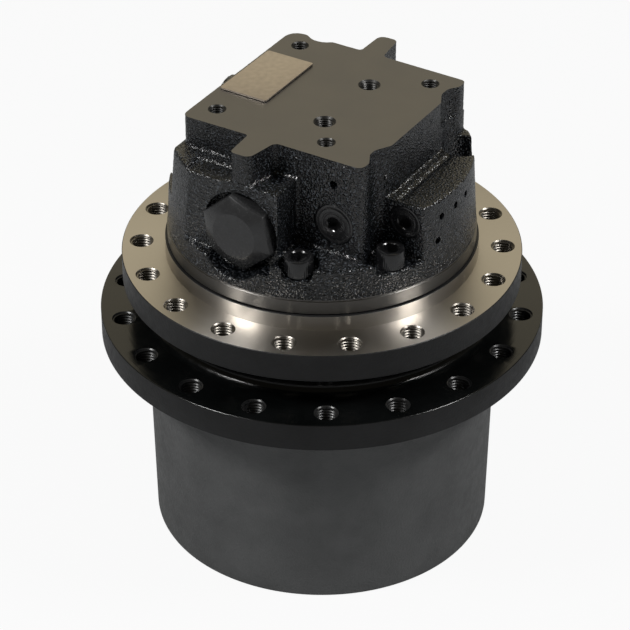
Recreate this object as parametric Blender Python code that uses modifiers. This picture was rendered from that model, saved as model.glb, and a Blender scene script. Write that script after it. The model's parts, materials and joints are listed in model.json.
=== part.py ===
"""Excavator final drive: axial piston motor, parking brake and two planetary stages in a turning hub."""

import math

import bmesh
import bpy
from mathutils import Matrix, Vector

# Lengths are metres. The axis of rotation is Z, and the hub stands on Z = 0.

# Fits
GAP = 0.0003
EDGE = 0.0007
SHELL_STEPS = 36
RING_STEPS = 20
SHAFT_STEPS = 16
PIN_STEPS = 12
HOLE_STEPS = 8

# Gears
MODULE = 0.0030
PRESSURE = math.radians(20.0)
RING_TEETH = 60
SUN_1_TEETH = 9
PLANET_1_TEETH = 25
SUN_2_TEETH = 15
PLANET_2_TEETH = 22
PLANETS = 3
ADDENDUM = 0.0029
DEDENDUM = 0.00375
RING_ADDENDUM = 0.0031
FLANK_PLAY = 0.00012
RING_FLANK_PLAY = 0.00045
RING_PITCH_R = MODULE * RING_TEETH / 2
GEAR_SPACE = 0.0030

# End cover, held by a snap ring in the hub's mouth
COVER_GROOVE_BOTTOM = 0.0030
SNAP_RING_THICKNESS = 0.0033
COVER_BOTTOM = COVER_GROOVE_BOTTOM + SNAP_RING_THICKNESS
COVER_THICKNESS = 0.0084
COVER_TOP = COVER_BOTTOM + COVER_THICKNESS
COVER_SHELF = 0.0025
RELIEF_DEPTH = 0.00075
RELIEF_R = RING_PITCH_R + DEDENDUM + RELIEF_DEPTH
COVER_R = RELIEF_R + COVER_SHELF
SNAP_RING_GROOVE = 0.0030
COVER_GROOVE_R = COVER_R + SNAP_RING_GROOVE
COVER_RIM = 0.0170
COVER_DISH_R = COVER_R - COVER_RIM
COVER_DISH = 0.0022
SNAP_RING_WIDTH = 0.0090
SNAP_RING_INNER_R = COVER_GROOVE_R - SNAP_RING_WIDTH
SNAP_RING_SPLIT = 0.0140
PLUG_INSET = 0.0200
PLUG_CIRCLE_R = COVER_DISH_R - PLUG_INSET
PLUG_SHANK_R = 0.0080
PLUG_HEAD_R = 0.0105
PLUG_HEAD_BOTTOM = 0.0022

# Planetary stages, stacked on the end cover
CARRIER_PIN_FOOT = 0.0023
CARRIER_PIN_BOTTOM = COVER_TOP + CARRIER_PIN_FOOT
PLANET_1_BOTTOM = CARRIER_PIN_BOTTOM + GEAR_SPACE
PLANET_1_WIDTH = 0.0220
PLANET_1_TOP = PLANET_1_BOTTOM + PLANET_1_WIDTH
CARRIER_BOTTOM = PLANET_1_TOP + GEAR_SPACE
CARRIER_THICKNESS = 0.0120
CARRIER_TOP = CARRIER_BOTTOM + CARRIER_THICKNESS
PLANET_2_BOTTOM = CARRIER_TOP + GEAR_SPACE
PLANET_2_WIDTH = 0.0320
PLANET_2_TOP = PLANET_2_BOTTOM + PLANET_2_WIDTH
CARRIER_PIN_R = 0.0090
CARRIER_EAR = 0.0155
CARRIER_R = MODULE * (RING_TEETH - PLANET_1_TEETH) / 2 + CARRIER_EAR
PIN_2_R = 0.0120
PIN_2_HEAD_R = 0.0155
PIN_2_HEAD = 0.0020
PIN_2_DEPTH = 0.0120
SUN_1_SHAFT_R = 0.0090
SUN_1_TIP_R = 0.0176
SUN_2_SHANK_R = 0.0150
SUN_2_BORE_R = SUN_1_SHAFT_R + 0.0020
SUN_2_TIP_CUT = 0.0004

# Main bearings: a matched pair of thin roller bearings
BEARING_JOURNAL_R = 0.0750
BEARING_RACE = 0.0100
ROLLER_R = 0.0047
ROLLER_CIRCLE_R = BEARING_JOURNAL_R + BEARING_RACE
BEARING_BORE_R = ROLLER_CIRCLE_R + BEARING_RACE
ROLLERS = 12
ROLLER_END_GAP = 0.0020
BEARING_WIDTH = 0.0232
NUT_WALL = 0.0090
NUT_R = BEARING_JOURNAL_R + NUT_WALL

# Spindle: the still body that bolts to the machine's frame
SPINDLE_BOTTOM = PLANET_2_TOP + GEAR_SPACE + 0.0010
SPINDLE_BASE = 0.0180
SPINDLE_FLOOR = SPINDLE_BOTTOM + SPINDLE_BASE
RELIEF_BOTTOM = SPINDLE_BOTTOM + 0.0020
LAND_BOTTOM = RELIEF_BOTTOM + GEAR_SPACE
LAND_HEIGHT = 0.0060
LAND_DEPTH = 0.0065
LAND_R = BEARING_BORE_R - LAND_DEPTH
BEARING_SEAT = LAND_BOTTOM + LAND_HEIGHT
SHOULDER_STEP = 0.0050
SHOULDER_R = BEARING_JOURNAL_R + SHOULDER_STEP
SHOULDER_Z = BEARING_SEAT + 2 * BEARING_WIDTH + 3 * GAP
SHAFT_SEAL_R = 0.0200
SHAFT_BEARING_R = 0.0267
SHAFT_BEARING_FLOOR = SPINDLE_BOTTOM + 0.0040

# Face seal
SEAL_ROOM = 0.0030
SEAL_INNER_R = SHOULDER_R + SEAL_ROOM
ORING_R = 0.00145
SEAL_OUTER_R = BEARING_BORE_R - 2 * ORING_R - 2 * GAP
SEAL_BAND = 0.0050
SEAL_FACE_INNER_R = SEAL_OUTER_R - SEAL_BAND
SEAL_BOTTOM = SHOULDER_Z + 0.0037
SEAL_RING_HEIGHT = 0.0100
SEAL_FACE_Z = SEAL_BOTTOM + SEAL_RING_HEIGHT
SEAL_POCKET_TOP = SEAL_FACE_Z + SEAL_RING_HEIGHT + GAP

# Neck of the hub and the lip of the frame flange that dips into it
NECK_STEP = 0.0060
NECK_BORE_R = BEARING_BORE_R + NECK_STEP
NECK_BORE_BOTTOM = SEAL_FACE_Z - 0.0005
LIP_BOTTOM = SEAL_FACE_Z + 0.0010
LABYRINTH = 0.0015
LIP_R = NECK_BORE_R - LABYRINTH
NECK_WALL = 0.0080
NECK_R = NECK_BORE_R + NECK_WALL
NECK_ROOT = 0.0040
FLANGE_WEB = 0.0027
FRAME_FLANGE_BOTTOM = SEAL_POCKET_TOP + FLANGE_WEB
RUNNING_GAP = 0.0025
NECK_TOP = FRAME_FLANGE_BOTTOM - RUNNING_GAP
NECK_HEIGHT = 0.0194
SPROCKET_FLANGE_TOP = NECK_TOP - NECK_HEIGHT
SPROCKET_FLANGE_THICKNESS = 0.0187
SPROCKET_FLANGE_BOTTOM = SPROCKET_FLANGE_TOP - SPROCKET_FLANGE_THICKNESS

# Outside of the hub and its sprocket flange
HUB_STEP = 0.0044
HUB_TOP_R = NECK_R + HUB_STEP
HUB_TAPER = 0.0027
HUB_FOOT_R = HUB_TOP_R - HUB_TAPER
HUB_FOOT_ROUND = 0.0023
FLANGE_HOLE_R = 0.0064
SPROCKET_HOLES = 18
SPROCKET_HOLE_REACH = 0.0158
SPROCKET_HOLE_CIRCLE_R = HUB_TOP_R + SPROCKET_HOLE_REACH
SPROCKET_HOLE_START = math.radians(2.21)
SPROCKET_RIM = 0.0138
SPROCKET_FLANGE_R = SPROCKET_HOLE_CIRCLE_R + SPROCKET_RIM

# Frame flange, its pilot and the motor's bore
FRAME_FLANGE_THICKNESS = 0.0190
FRAME_FLANGE_TOP = FRAME_FLANGE_BOTTOM + FRAME_FLANGE_THICKNESS
PILOT_R = 0.1000
PILOT_HEIGHT = 0.0100
PILOT_TOP = FRAME_FLANGE_TOP + PILOT_HEIGHT
FRAME_HOLES = 18
FRAME_HOLE_REACH = 0.0156
FRAME_HOLE_CIRCLE_R = PILOT_R + FRAME_HOLE_REACH
FRAME_HOLE_START = math.radians(9.53)
FRAME_RIM = 0.0124
FRAME_FLANGE_R = FRAME_HOLE_CIRCLE_R + FRAME_RIM
SPINDLE_WALL = 0.0130
MOTOR_BORE_R = BEARING_JOURNAL_R - SPINDLE_WALL

# Motor
SHAFT_R = 0.0150
SHAFT_RISE = 0.0120
SHAFT_TOP = PILOT_TOP + SHAFT_RISE
SHAFT_SOCKET_TOP = SPINDLE_FLOOR + 0.0090
SWASH_R = MOTOR_BORE_R - 0.0120
SWASH_HEIGHT = 0.0160
SWASH_TOP = SPINDLE_FLOOR + SWASH_HEIGHT
PISTONS = 9
PISTON_R = 0.0072
PISTON_CIRCLE_R = 0.0300
RETAINER_LIP = 0.0115
RETAINER_R = PISTON_CIRCLE_R + RETAINER_LIP
RETAINER_THICKNESS = 0.0040
BLOCK_WALL = 0.0140
BLOCK_R = PISTON_CIRCLE_R + BLOCK_WALL
VALVE_PLATE_THICKNESS = 0.0060
BLOCK_TOP = PILOT_TOP - VALVE_PLATE_THICKNESS
BLOCK_HEIGHT = 0.0520
BLOCK_BOTTOM = BLOCK_TOP - BLOCK_HEIGHT
BLOCK_BORE_TOP = BLOCK_TOP - 0.0080
PISTON_TOP = BLOCK_BORE_TOP - 0.0110
VALVE_PLATE_R = BLOCK_R + 0.0040
KIDNEY_R = 0.0042
BRAKE_PLATE = 0.0042
BRAKE_STACK_BOTTOM = BLOCK_BOTTOM + 0.0080
BRAKE_PLATE_INNER_R = BLOCK_R + 0.0060
BRAKE_DISC_R = MOTOR_BORE_R - 0.0050
BRAKE_PISTON_TOP = BLOCK_TOP

# Cast motor cover
BAND_STEP = 0.0015
BAND_R = PILOT_R - BAND_STEP
BAND_HEIGHT = 0.0100
BAND_TOP = PILOT_TOP + BAND_HEIGHT
DRUM_R = BAND_R - 0.0005
DRUM_DRAFT = 0.0034
DRUM_TOP_R = DRUM_R - DRUM_DRAFT
DRUM_ROUND = 0.0025
SCREW_FLOOR = BAND_TOP + 0.0135
SPOOL_Z = SCREW_FLOOR + 0.0185
SHOULDER_OVER_SPOOL = 0.0325
DRUM_TOP = SPOOL_Z + SHOULDER_OVER_SPOOL
PLATE_RISE = 0.0205
PLATE_TOP = DRUM_TOP + PLATE_RISE
PLATE_FOOT = BAND_TOP + 0.0050
PLATE_LEFT = -0.0637
PLATE_RIGHT = 0.0650
PLATE_FRONT = -0.0607
PLATE_BACK = 0.0680
FRONT_BOSS_Y = -0.0840
REAR_BOSS_Y = 0.0920
BOSS_RIGHT = 0.0190
REAR_BOSS_LEFT = -0.0340
LEDGE = SCREW_FLOOR + 0.0070
LEFT_LEDGE = LEDGE + 0.0075
LEFT_WALL = PLATE_LEFT - 0.0023
LEFT_WALL_FOOT = LEFT_WALL - 0.0040
RIGHT_TOP = DRUM_TOP - 0.0140
RIGHT_BLOCK_FRONT = -0.0320
GROOVE_LOW = (0.0705, -0.0290)
GROOVE_HIGH = (0.0745, 0.0350)
GROOVE_DEPTH = 0.0015
PAD_LEFT = -0.0470
PAD_RIGHT = -0.0200
PAD_BACK = -0.0680
PAD_DEPTH = 0.0018
OUTSIDE = DRUM_R + 0.0320

# Cover screws
SCREW_CIRCLE_R = DRUM_R - 0.0103
SCREW_ANGLES = [-68.2, -30.7, 33.0, 68.2, 119.0, 200.0]
SCREW_HEAD_R = 0.0090
SCREW_HEAD = 0.0117
SCREW_R = 0.0060
SCREW_BOTTOM = PILOT_TOP - 0.0200
SCREW_POCKET_R = SCREW_HEAD_R + 0.0035
SCREW_HEX_R = 0.0058
SCREW_HEX_DEPTH = 0.0060

# Valves in the cover
SPOOL_X = -0.0075
SPOOL_BORE_R = 0.0110
SPOOL_HALF = 0.0450
CAP_SHANK_R = SPOOL_BORE_R + 0.0060
CAP_SHANK = 0.0140
CAP_SEAT_R = CAP_SHANK_R + 0.0088
CAP_SINK = 0.0060
CAP_FLATS_R = CAP_SEAT_R - 0.0038
CAP_TURN = math.radians(11.5)
CAP_FACE_R = CAP_FLATS_R - 0.0070
CAP_HEAD = 0.0080
CAP_CONE = 0.0043
CAP_POCKET_R = 0.0095
CAP_POCKET = 0.0070
CAP_SCOOP = 0.0012
SPRING_R = SPOOL_BORE_R - 0.0030
SPRING_WIRE_R = 0.0010
SPRING_TURNS = 3
SPEED_X = 0.0447
SPEED_Z = SPOOL_Z + 0.0085
SPEED_BORE_R = 0.0080
SPEED_BORE_END = 0.0300
SPEED_SPOOL_FRONT = -0.0380
SPEED_SPOOL_BACK = 0.0180
PLUG_R = 0.0134
PLUG_SOCKET_R = 0.0050
PLUG_SOCKET = 0.0055
PLUG_THICKNESS = 0.0080
PLUG_TAIL = 0.0030
SIDE_PLUG_X = 0.0777
SIDE_PLUG_Z = SPOOL_Z + 0.0055
SIDE_PLUG_R = 0.0108

# Ports and holes
PORT_R = 0.0110
PORT_DEPTH = 0.0250
PORT_Z = PLATE_TOP - 0.0330
PORT_A_X = 0.0410
PORT_B_X = -0.0485
DRAIN_Y = 0.0300
DRAIN_Z = PLATE_TOP - 0.0390
DRAIN_BOSS_R = 0.0160
DRAIN_BOSS_X = LEFT_WALL - 0.0240
DRAIN_PORT_R = 0.0075
TOP_HOLE_R = 0.0046
TOP_HOLE_DEPTH = 0.0180
TOP_HOLES = [(-0.0487, 0.0534), (-0.0493, -0.0435), (0.0474, 0.0524), (0.0293, -0.0438)]
GAUGE_PORT_R = 0.0052
GAUGE_PORTS = [(0.0154, -0.0227), (0.0154, 0.0315)]
PIN_HOLE_R = 0.0025
PIN_HOLE_DEPTH = 0.0080
PIN_HOLES = [(-9.4, 0.0067), (-0.2, 0.0071), (8.5, 0.0073), (-11.8, -0.0086)]
WALL_HOLE_X = SPEED_X - 0.0002
WALL_HOLE_Z = PLATE_TOP - 0.0166

# Nameplate, left bare
NAMEPLATE_CENTRE = (-0.04455, 0.0069)
NAMEPLATE_SIZE = (0.0337, 0.0568)
NAMEPLATE_THICKNESS = 0.0012

CAST_BLACK = ((0.018, 0.019, 0.021), 0.45, 0.3)
HUB_GREY = ((0.060, 0.060, 0.062), 0.42, 0.6)
BRIGHT_STEEL = ((0.62, 0.60, 0.57), 0.28, 1.0)
DARK_STEEL = ((0.16, 0.16, 0.165), 0.35, 1.0)
MACHINED_IRON = ((0.33, 0.31, 0.29), 0.38, 1.0)
BLACK_OXIDE = ((0.020, 0.020, 0.021), 0.38, 0.7)
BRONZE = ((0.55, 0.36, 0.16), 0.35, 1.0)
SEAL_RUBBER = ((0.012, 0.012, 0.012), 0.6, 0.0)
PALE_BRASS = ((0.52, 0.46, 0.34), 0.4, 0.8)


def clear_scene():
    for obj in list(bpy.data.objects):
        bpy.data.objects.remove(obj, do_unlink=True)


def make_collection(name):
    collection = bpy.data.collections.new(name)
    bpy.context.scene.collection.children.link(collection)
    return collection


clear_scene()
PARTS = make_collection("excavator_final_drive")
CUTTERS = make_collection("cutters")


def material(name, look):
    colour, roughness, metallic = look
    made = bpy.data.materials.new(name)
    made.use_nodes = True
    shader = made.node_tree.nodes["Principled BSDF"]
    shader.inputs["Base Color"].default_value = (*colour, 1.0)
    shader.inputs["Roughness"].default_value = roughness
    shader.inputs["Metallic"].default_value = metallic
    return made


def add_object(name, mesh, collection):
    obj = bpy.data.objects.new(name, mesh)
    collection.objects.link(obj)
    return obj


def finish(obj, look):
    """Moves a helper in among the parts, with its material and smooth shading."""
    CUTTERS.objects.unlink(obj)
    PARTS.objects.link(obj)
    obj.hide_render = False
    obj.display_type = "SOLID"
    obj.data.materials.clear()
    obj.data.materials.append(material(obj.name, look))
    if obj.type == "MESH":
        obj.data.shade_smooth()
        obj.data.set_sharp_from_angle(angle=math.radians(30))
    return obj


def helper(name, mesh):
    obj = add_object(name, mesh, CUTTERS)
    obj.hide_render = True
    obj.display_type = "WIRE"
    return obj


def around(radius, steps):
    """The corner radius of a bore whose flats still clear the radius."""
    return radius / math.cos(math.pi / steps)


def turned(name, profile, steps=SHELL_STEPS):
    """A solid of revolution about Z from (radius, height) points, a ring unless both ends are on the axis."""
    solid = profile[0][0] == 0 and profile[-1][0] == 0
    loop = profile if solid else profile + [profile[0]]
    turn = sum(a[0] * b[1] - b[0] * a[1] for a, b in zip(loop, loop[1:]))
    points = list(reversed(profile)) if turn > 0 else list(profile)
    ends = len(points) - 1 if solid else len(points)
    edges = [(i, (i + 1) % len(points)) for i in range(ends)]
    mesh = bpy.data.meshes.new(name)
    mesh.from_pydata([(r, 0, z) for r, z in points], edges, [])
    obj = helper(name, mesh)
    screw = obj.modifiers.new("turn", "SCREW")
    screw.axis = "Z"
    screw.steps = steps
    screw.render_steps = steps
    screw.use_merge_vertices = True
    screw.merge_threshold = 0.00001
    return obj


def frozen(obj):
    """The object as a plain mesh with its modifiers or curve evaluated."""
    bpy.context.view_layer.update()
    graph = bpy.context.evaluated_depsgraph_get()
    name = obj.name
    mesh = bpy.data.meshes.new_from_object(obj.evaluated_get(graph))
    place = obj.matrix_world.copy()
    bpy.data.objects.remove(obj, do_unlink=True)
    shape = bmesh.new()
    shape.from_mesh(mesh)
    bmesh.ops.remove_doubles(shape, verts=shape.verts, dist=0.000001)
    shape.to_mesh(mesh)
    shape.free()
    mesh.name = name
    made = helper(name, mesh)
    made.matrix_world = place
    return made


def extruded(name, loops, bottom, top):
    """A flat outline with any holes, extruded along Z from bottom to top."""
    curve = bpy.data.curves.new(name, "CURVE")
    curve.dimensions = "2D"
    curve.fill_mode = "BOTH"
    curve.extrude = (top - bottom) / 2
    for loop in loops:
        spline = curve.splines.new("POLY")
        spline.points.add(len(loop) - 1)
        for point, (x, y) in zip(spline.points, loop):
            point.co = (x, y, 0, 1)
        spline.use_cyclic_u = True
    obj = add_object(name, curve, CUTTERS)
    obj.location.z = (top + bottom) / 2
    return frozen(obj)


def rod(name, radius, start, end, steps=SHAFT_STEPS, turn=0.0):
    """A cylinder between two points."""
    start = Vector(start)
    end = Vector(end)
    along = end - start
    shape = bmesh.new()
    bmesh.ops.create_cone(
        shape, cap_ends=True, segments=steps, radius1=radius, radius2=radius, depth=along.length
    )
    mesh = bpy.data.meshes.new(name)
    shape.to_mesh(mesh)
    shape.free()
    obj = helper(name, mesh)
    lay = along.to_track_quat("Z", "Y").to_matrix().to_4x4()
    obj.matrix_world = Matrix.Translation((start + end) / 2) @ lay @ Matrix.Rotation(turn, 4, "Z")
    return obj


def block(name, low, high):
    """A box between two corners."""
    shape = bmesh.new()
    bmesh.ops.create_cube(shape, size=1.0)
    size = [b - a for a, b in zip(low, high)]
    bmesh.ops.scale(shape, vec=size, verts=shape.verts)
    mesh = bpy.data.meshes.new(name)
    shape.to_mesh(mesh)
    shape.free()
    obj = helper(name, mesh)
    obj.location = [(a + b) / 2 for a, b in zip(low, high)]
    return obj


def boolean(target, operation, others):
    for other in others:
        modifier = target.modifiers.new(operation.lower(), "BOOLEAN")
        modifier.operation = operation
        modifier.object = other
    return target


def cut(target, *others):
    return boolean(target, "DIFFERENCE", others)


def join(target, *others):
    return boolean(target, "UNION", others)


def gathered(name, objects):
    """Helpers that don't touch each other, as one mesh."""
    bpy.context.view_layer.update()
    shape = bmesh.new()
    for obj in objects:
        part = obj.data.copy()
        part.transform(obj.matrix_world)
        shape.from_mesh(part)
        bpy.data.objects.remove(obj, do_unlink=True)
    mesh = bpy.data.meshes.new(name)
    shape.to_mesh(mesh)
    shape.free()
    return helper(name, mesh)


def polar(radius, angle):
    return (radius * math.cos(angle), radius * math.sin(angle))


def circle(radius, steps, centre=(0.0, 0.0)):
    turns = [2 * math.pi * i / steps for i in range(steps)]
    return [(centre[0] + radius * math.cos(a), centre[1] + radius * math.sin(a)) for a in turns]


def rounded(corners, steps=2):
    """An outline through (x, y, radius) corners, each one rounded by an arc."""
    points = []
    for i, (x, y, radius) in enumerate(corners):
        here = Vector((x, y))
        before = (Vector(corners[i - 1][:2]) - here).normalized()
        after = (Vector(corners[(i + 1) % len(corners)][:2]) - here).normalized()
        half = before.angle(after) / 2
        reach = radius / math.tan(half)
        centre = here + (before + after).normalized() * radius / math.sin(half)
        first = here + before * reach - centre
        last = here + after * reach - centre
        sweep = first.angle_signed(last)
        for step in range(steps + 1):
            spoke = first.copy()
            spoke.rotate(Matrix.Rotation(-sweep * step / steps, 2))
            points.append(tuple(centre + spoke))
    return points


def involute(angle):
    return math.tan(angle) - angle


def tooth_half_angle(radius, teeth, shift, play):
    """Half the angle that a tooth takes at a radius, thinned by the play on each flank."""
    pitch_r = MODULE * teeth / 2
    base_r = pitch_r * math.cos(PRESSURE)
    width = MODULE * (math.pi / 2 + 2 * shift * math.tan(PRESSURE))
    pressure_here = math.acos(min(1.0, base_r / radius))
    return width / (2 * pitch_r) + involute(PRESSURE) - involute(pressure_here) - play / radius


def gear_outline(teeth, root_r, tip_r, shift=0.0, play=FLANK_PLAY, phase=0.0, straight=False):
    """The outline of an external gear with a tooth centred on the phase angle."""
    pitch_r = MODULE * teeth / 2
    base_r = pitch_r * math.cos(PRESSURE)
    middle_r = max(pitch_r, (root_r + tip_r) / 2)
    flank = [(root_r, tooth_half_angle(max(root_r, base_r), teeth, shift, play))]
    outer = [tip_r] if straight else [middle_r, tip_r]
    flank += [(r, tooth_half_angle(r, teeth, shift, play)) for r in outer]
    points = []
    for tooth in range(teeth):
        middle = phase + 2 * math.pi * tooth / teeth
        points += [polar(r, middle - half) for r, half in flank]
        points += [polar(r, middle + half) for r, half in reversed(flank)]
    return points


def centre_distance(planet_teeth):
    return MODULE * (RING_TEETH - planet_teeth) / 2


def sun_shift(sun_teeth, planet_teeth):
    """Profile shift that lets a sun reach planets placed for the ring gear."""
    total = sun_teeth + planet_teeth
    plain = MODULE * total / 2
    working = math.acos(plain * math.cos(PRESSURE) / centre_distance(planet_teeth))
    return (involute(working) - involute(PRESSURE)) * total / (2 * math.tan(PRESSURE))


def planet_angles():
    return [2 * math.pi * i / PLANETS for i in range(PLANETS)]


def hole_angles(count, start):
    return [start + 2 * math.pi * i / count for i in range(count)]


def hole_ring(name, count, circle_r, start, radius, bottom, top, steps=HOLE_STEPS):
    drills = []
    for angle in hole_angles(count, start):
        x, y = polar(circle_r, angle)
        drills.append(rod(f"{name}_drill", radius, (x, y, bottom), (x, y, top), steps, angle))
    return gathered(name, drills)


def hub_profile():
    mouth = COVER_R + GAP
    tip_r = RING_PITCH_R - RING_ADDENDUM
    inner = [
        (mouth, 0.0),
        (mouth, COVER_GROOVE_BOTTOM),
        (COVER_GROOVE_R, COVER_GROOVE_BOTTOM),
        (COVER_GROOVE_R, COVER_BOTTOM - GAP),
        (mouth, COVER_BOTTOM - GAP),
        (mouth, COVER_TOP + GAP),
        (tip_r, COVER_TOP + GAP),
        (tip_r, RELIEF_BOTTOM),
        (RELIEF_R, RELIEF_BOTTOM),
        (RELIEF_R, LAND_BOTTOM),
        (LAND_R, LAND_BOTTOM),
        (LAND_R, BEARING_SEAT),
        (BEARING_BORE_R, BEARING_SEAT),
        (BEARING_BORE_R, NECK_BORE_BOTTOM),
        (NECK_BORE_R, NECK_BORE_BOTTOM),
        (NECK_BORE_R, NECK_TOP),
    ]
    outer = [
        (NECK_R, NECK_TOP),
        (NECK_R, SPROCKET_FLANGE_TOP + NECK_ROOT),
        (NECK_R + NECK_ROOT, SPROCKET_FLANGE_TOP),
        (SPROCKET_FLANGE_R - EDGE, SPROCKET_FLANGE_TOP),
        (SPROCKET_FLANGE_R, SPROCKET_FLANGE_TOP - EDGE),
        (SPROCKET_FLANGE_R, SPROCKET_FLANGE_BOTTOM),
        (HUB_TOP_R, SPROCKET_FLANGE_BOTTOM),
        (HUB_FOOT_R, HUB_FOOT_ROUND),
        (HUB_FOOT_R - HUB_FOOT_ROUND, 0.0),
    ]
    return inner + outer


def make_hub():
    hub = turned("hub_housing", hub_profile())
    tip_r = RING_PITCH_R - 1.5 * RING_ADDENDUM
    root_r = RING_PITCH_R + DEDENDUM
    spaces = gear_outline(RING_TEETH, tip_r, root_r, play=-RING_FLANK_PLAY, straight=True)
    broach_top = (RELIEF_BOTTOM + LAND_BOTTOM) / 2
    broach_bottom = (COVER_BOTTOM + COVER_TOP) / 2
    cut(hub, extruded("ring_gear_broach", [spaces], broach_bottom, broach_top))
    drills = hole_ring(
        "sprocket_holes",
        SPROCKET_HOLES,
        SPROCKET_HOLE_CIRCLE_R,
        SPROCKET_HOLE_START,
        FLANGE_HOLE_R,
        SPROCKET_FLANGE_BOTTOM - EDGE,
        SPROCKET_FLANGE_TOP + EDGE,
    )
    cut(hub, drills)
    return finish(hub, HUB_GREY)


def plug_places():
    return {"fill_plug": polar(PLUG_CIRCLE_R, math.radians(90)), "drain_plug": polar(PLUG_CIRCLE_R, math.radians(-90))}


def make_hub_cover():
    cover = turned(
        "hub_cover",
        [
            (0.0, COVER_BOTTOM + COVER_DISH),
            (COVER_DISH_R, COVER_BOTTOM + COVER_DISH),
            (COVER_DISH_R, COVER_BOTTOM),
            (COVER_R, COVER_BOTTOM),
            (COVER_R, COVER_TOP),
            (0.0, COVER_TOP),
        ],
    )
    for name, (x, y) in plug_places().items():
        reach = (x, y, COVER_TOP + EDGE)
        bore = around(PLUG_SHANK_R + GAP, SHAFT_STEPS)
        cut(cover, rod(f"{name}_bore", bore, (x, y, COVER_BOTTOM - EDGE), reach))
    return finish(cover, HUB_GREY)


def make_cover_plug(name, x, y):
    seat = COVER_BOTTOM + COVER_DISH - GAP
    shank = rod(name, PLUG_SHANK_R, (x, y, seat - EDGE), (x, y, COVER_TOP - GAP))
    head = rod(f"{name}_head", PLUG_HEAD_R, (x, y, PLUG_HEAD_BOTTOM), (x, y, seat), 6)
    join(shank, head)
    return finish(shank, BLACK_OXIDE)


def make_snap_ring():
    outer = COVER_GROOVE_R - 2 * GAP
    low = COVER_GROOVE_BOTTOM + GAP
    high = COVER_BOTTOM - 2 * GAP
    ring = turned(
        "cover_snap_ring",
        [(SNAP_RING_INNER_R, low), (outer, low), (outer, high), (SNAP_RING_INNER_R, high)],
    )
    half = SNAP_RING_SPLIT / 2
    split = block("snap_ring_split", (SNAP_RING_INNER_R - half, -half, 0.0), (OUTSIDE, half, COVER_BOTTOM))
    cut(ring, split)
    return finish(ring, DARK_STEEL)


def toothed(name, teeth, root_r, tip_r, bottom, top, bore_r, shift=0.0, phase=0.0):
    outline = gear_outline(teeth, root_r, tip_r, shift, FLANK_PLAY, phase)
    bore = circle(around(bore_r, PIN_STEPS), PIN_STEPS)
    return extruded(name, [outline, bore] if bore_r else [outline], bottom, top)


def make_planets(stage, teeth, bottom, top, pin_r):
    pitch_r = MODULE * teeth / 2
    for number, angle in enumerate(planet_angles(), 1):
        name = f"planet_{stage}_{number}"
        bore_r = pin_r + GAP
        gear = toothed(name, teeth, pitch_r - DEDENDUM, pitch_r + ADDENDUM, bottom, top, bore_r, phase=angle)
        x, y = polar(centre_distance(teeth), angle)
        gear.location.x = x
        gear.location.y = y
        finish(gear, DARK_STEEL)


def make_stage_2_pins():
    """Planet pins pressed into the lower face of the spindle."""
    head_top = PLANET_2_BOTTOM - GAP
    head_bottom = head_top - PIN_2_HEAD
    for number, angle in enumerate(planet_angles(), 1):
        pin = turned(
            f"planet_pin_2_{number}",
            [
                (0.0, head_bottom),
                (PIN_2_HEAD_R, head_bottom),
                (PIN_2_HEAD_R, head_top),
                (PIN_2_R, head_top),
                (PIN_2_R, SPINDLE_BOTTOM + PIN_2_DEPTH),
                (0.0, SPINDLE_BOTTOM + PIN_2_DEPTH),
            ],
            PIN_STEPS,
        )
        x, y = polar(centre_distance(PLANET_2_TEETH), angle)
        pin.location = (x, y, 0.0)
        finish(pin, BRIGHT_STEEL)


def make_sun_1():
    """The first sun and its long shaft, splined into the motor shaft."""
    pitch_r = MODULE * SUN_1_TEETH / 2
    shift = sun_shift(SUN_1_TEETH, PLANET_1_TEETH)
    bottom = PLANET_1_BOTTOM - 2 * MODULE / 3
    top = PLANET_1_TOP + 2 * MODULE / 3
    phase = math.pi * (PLANET_1_TEETH - 1) / SUN_1_TEETH
    root_r = pitch_r - DEDENDUM + shift * MODULE
    gear = toothed("sun_gear_1", SUN_1_TEETH, root_r, SUN_1_TIP_R, bottom, top, 0.0, shift, phase)
    shaft = rod("sun_1_shaft", SUN_1_SHAFT_R, (0, 0, top - EDGE), (0, 0, SHAFT_SOCKET_TOP - 3 * GAP))
    join(gear, shaft)
    return finish(gear, DARK_STEEL)


def make_sun_2():
    pitch_r = MODULE * SUN_2_TEETH / 2
    shift = sun_shift(SUN_2_TEETH, PLANET_2_TEETH)
    top = SPINDLE_BOTTOM - GAP
    phase = math.pi * (PLANET_2_TEETH - 1) / SUN_2_TEETH
    root_r = pitch_r - DEDENDUM + shift * MODULE
    tip_r = pitch_r + ADDENDUM + shift * MODULE - SUN_2_TIP_CUT
    gear = toothed("sun_gear_2", SUN_2_TEETH, root_r, tip_r, CARRIER_TOP + GAP, top, SUN_2_BORE_R, shift, phase)
    low = CARRIER_BOTTOM + GAP
    high = CARRIER_TOP + MODULE
    bore_r = around(SUN_2_BORE_R, PIN_STEPS)
    shank = turned(
        "sun_2_shank",
        [(bore_r, low), (SUN_2_SHANK_R, low), (SUN_2_SHANK_R, high), (bore_r, high)],
        PIN_STEPS,
    )
    join(gear, shank)
    return finish(gear, DARK_STEEL)


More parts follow.
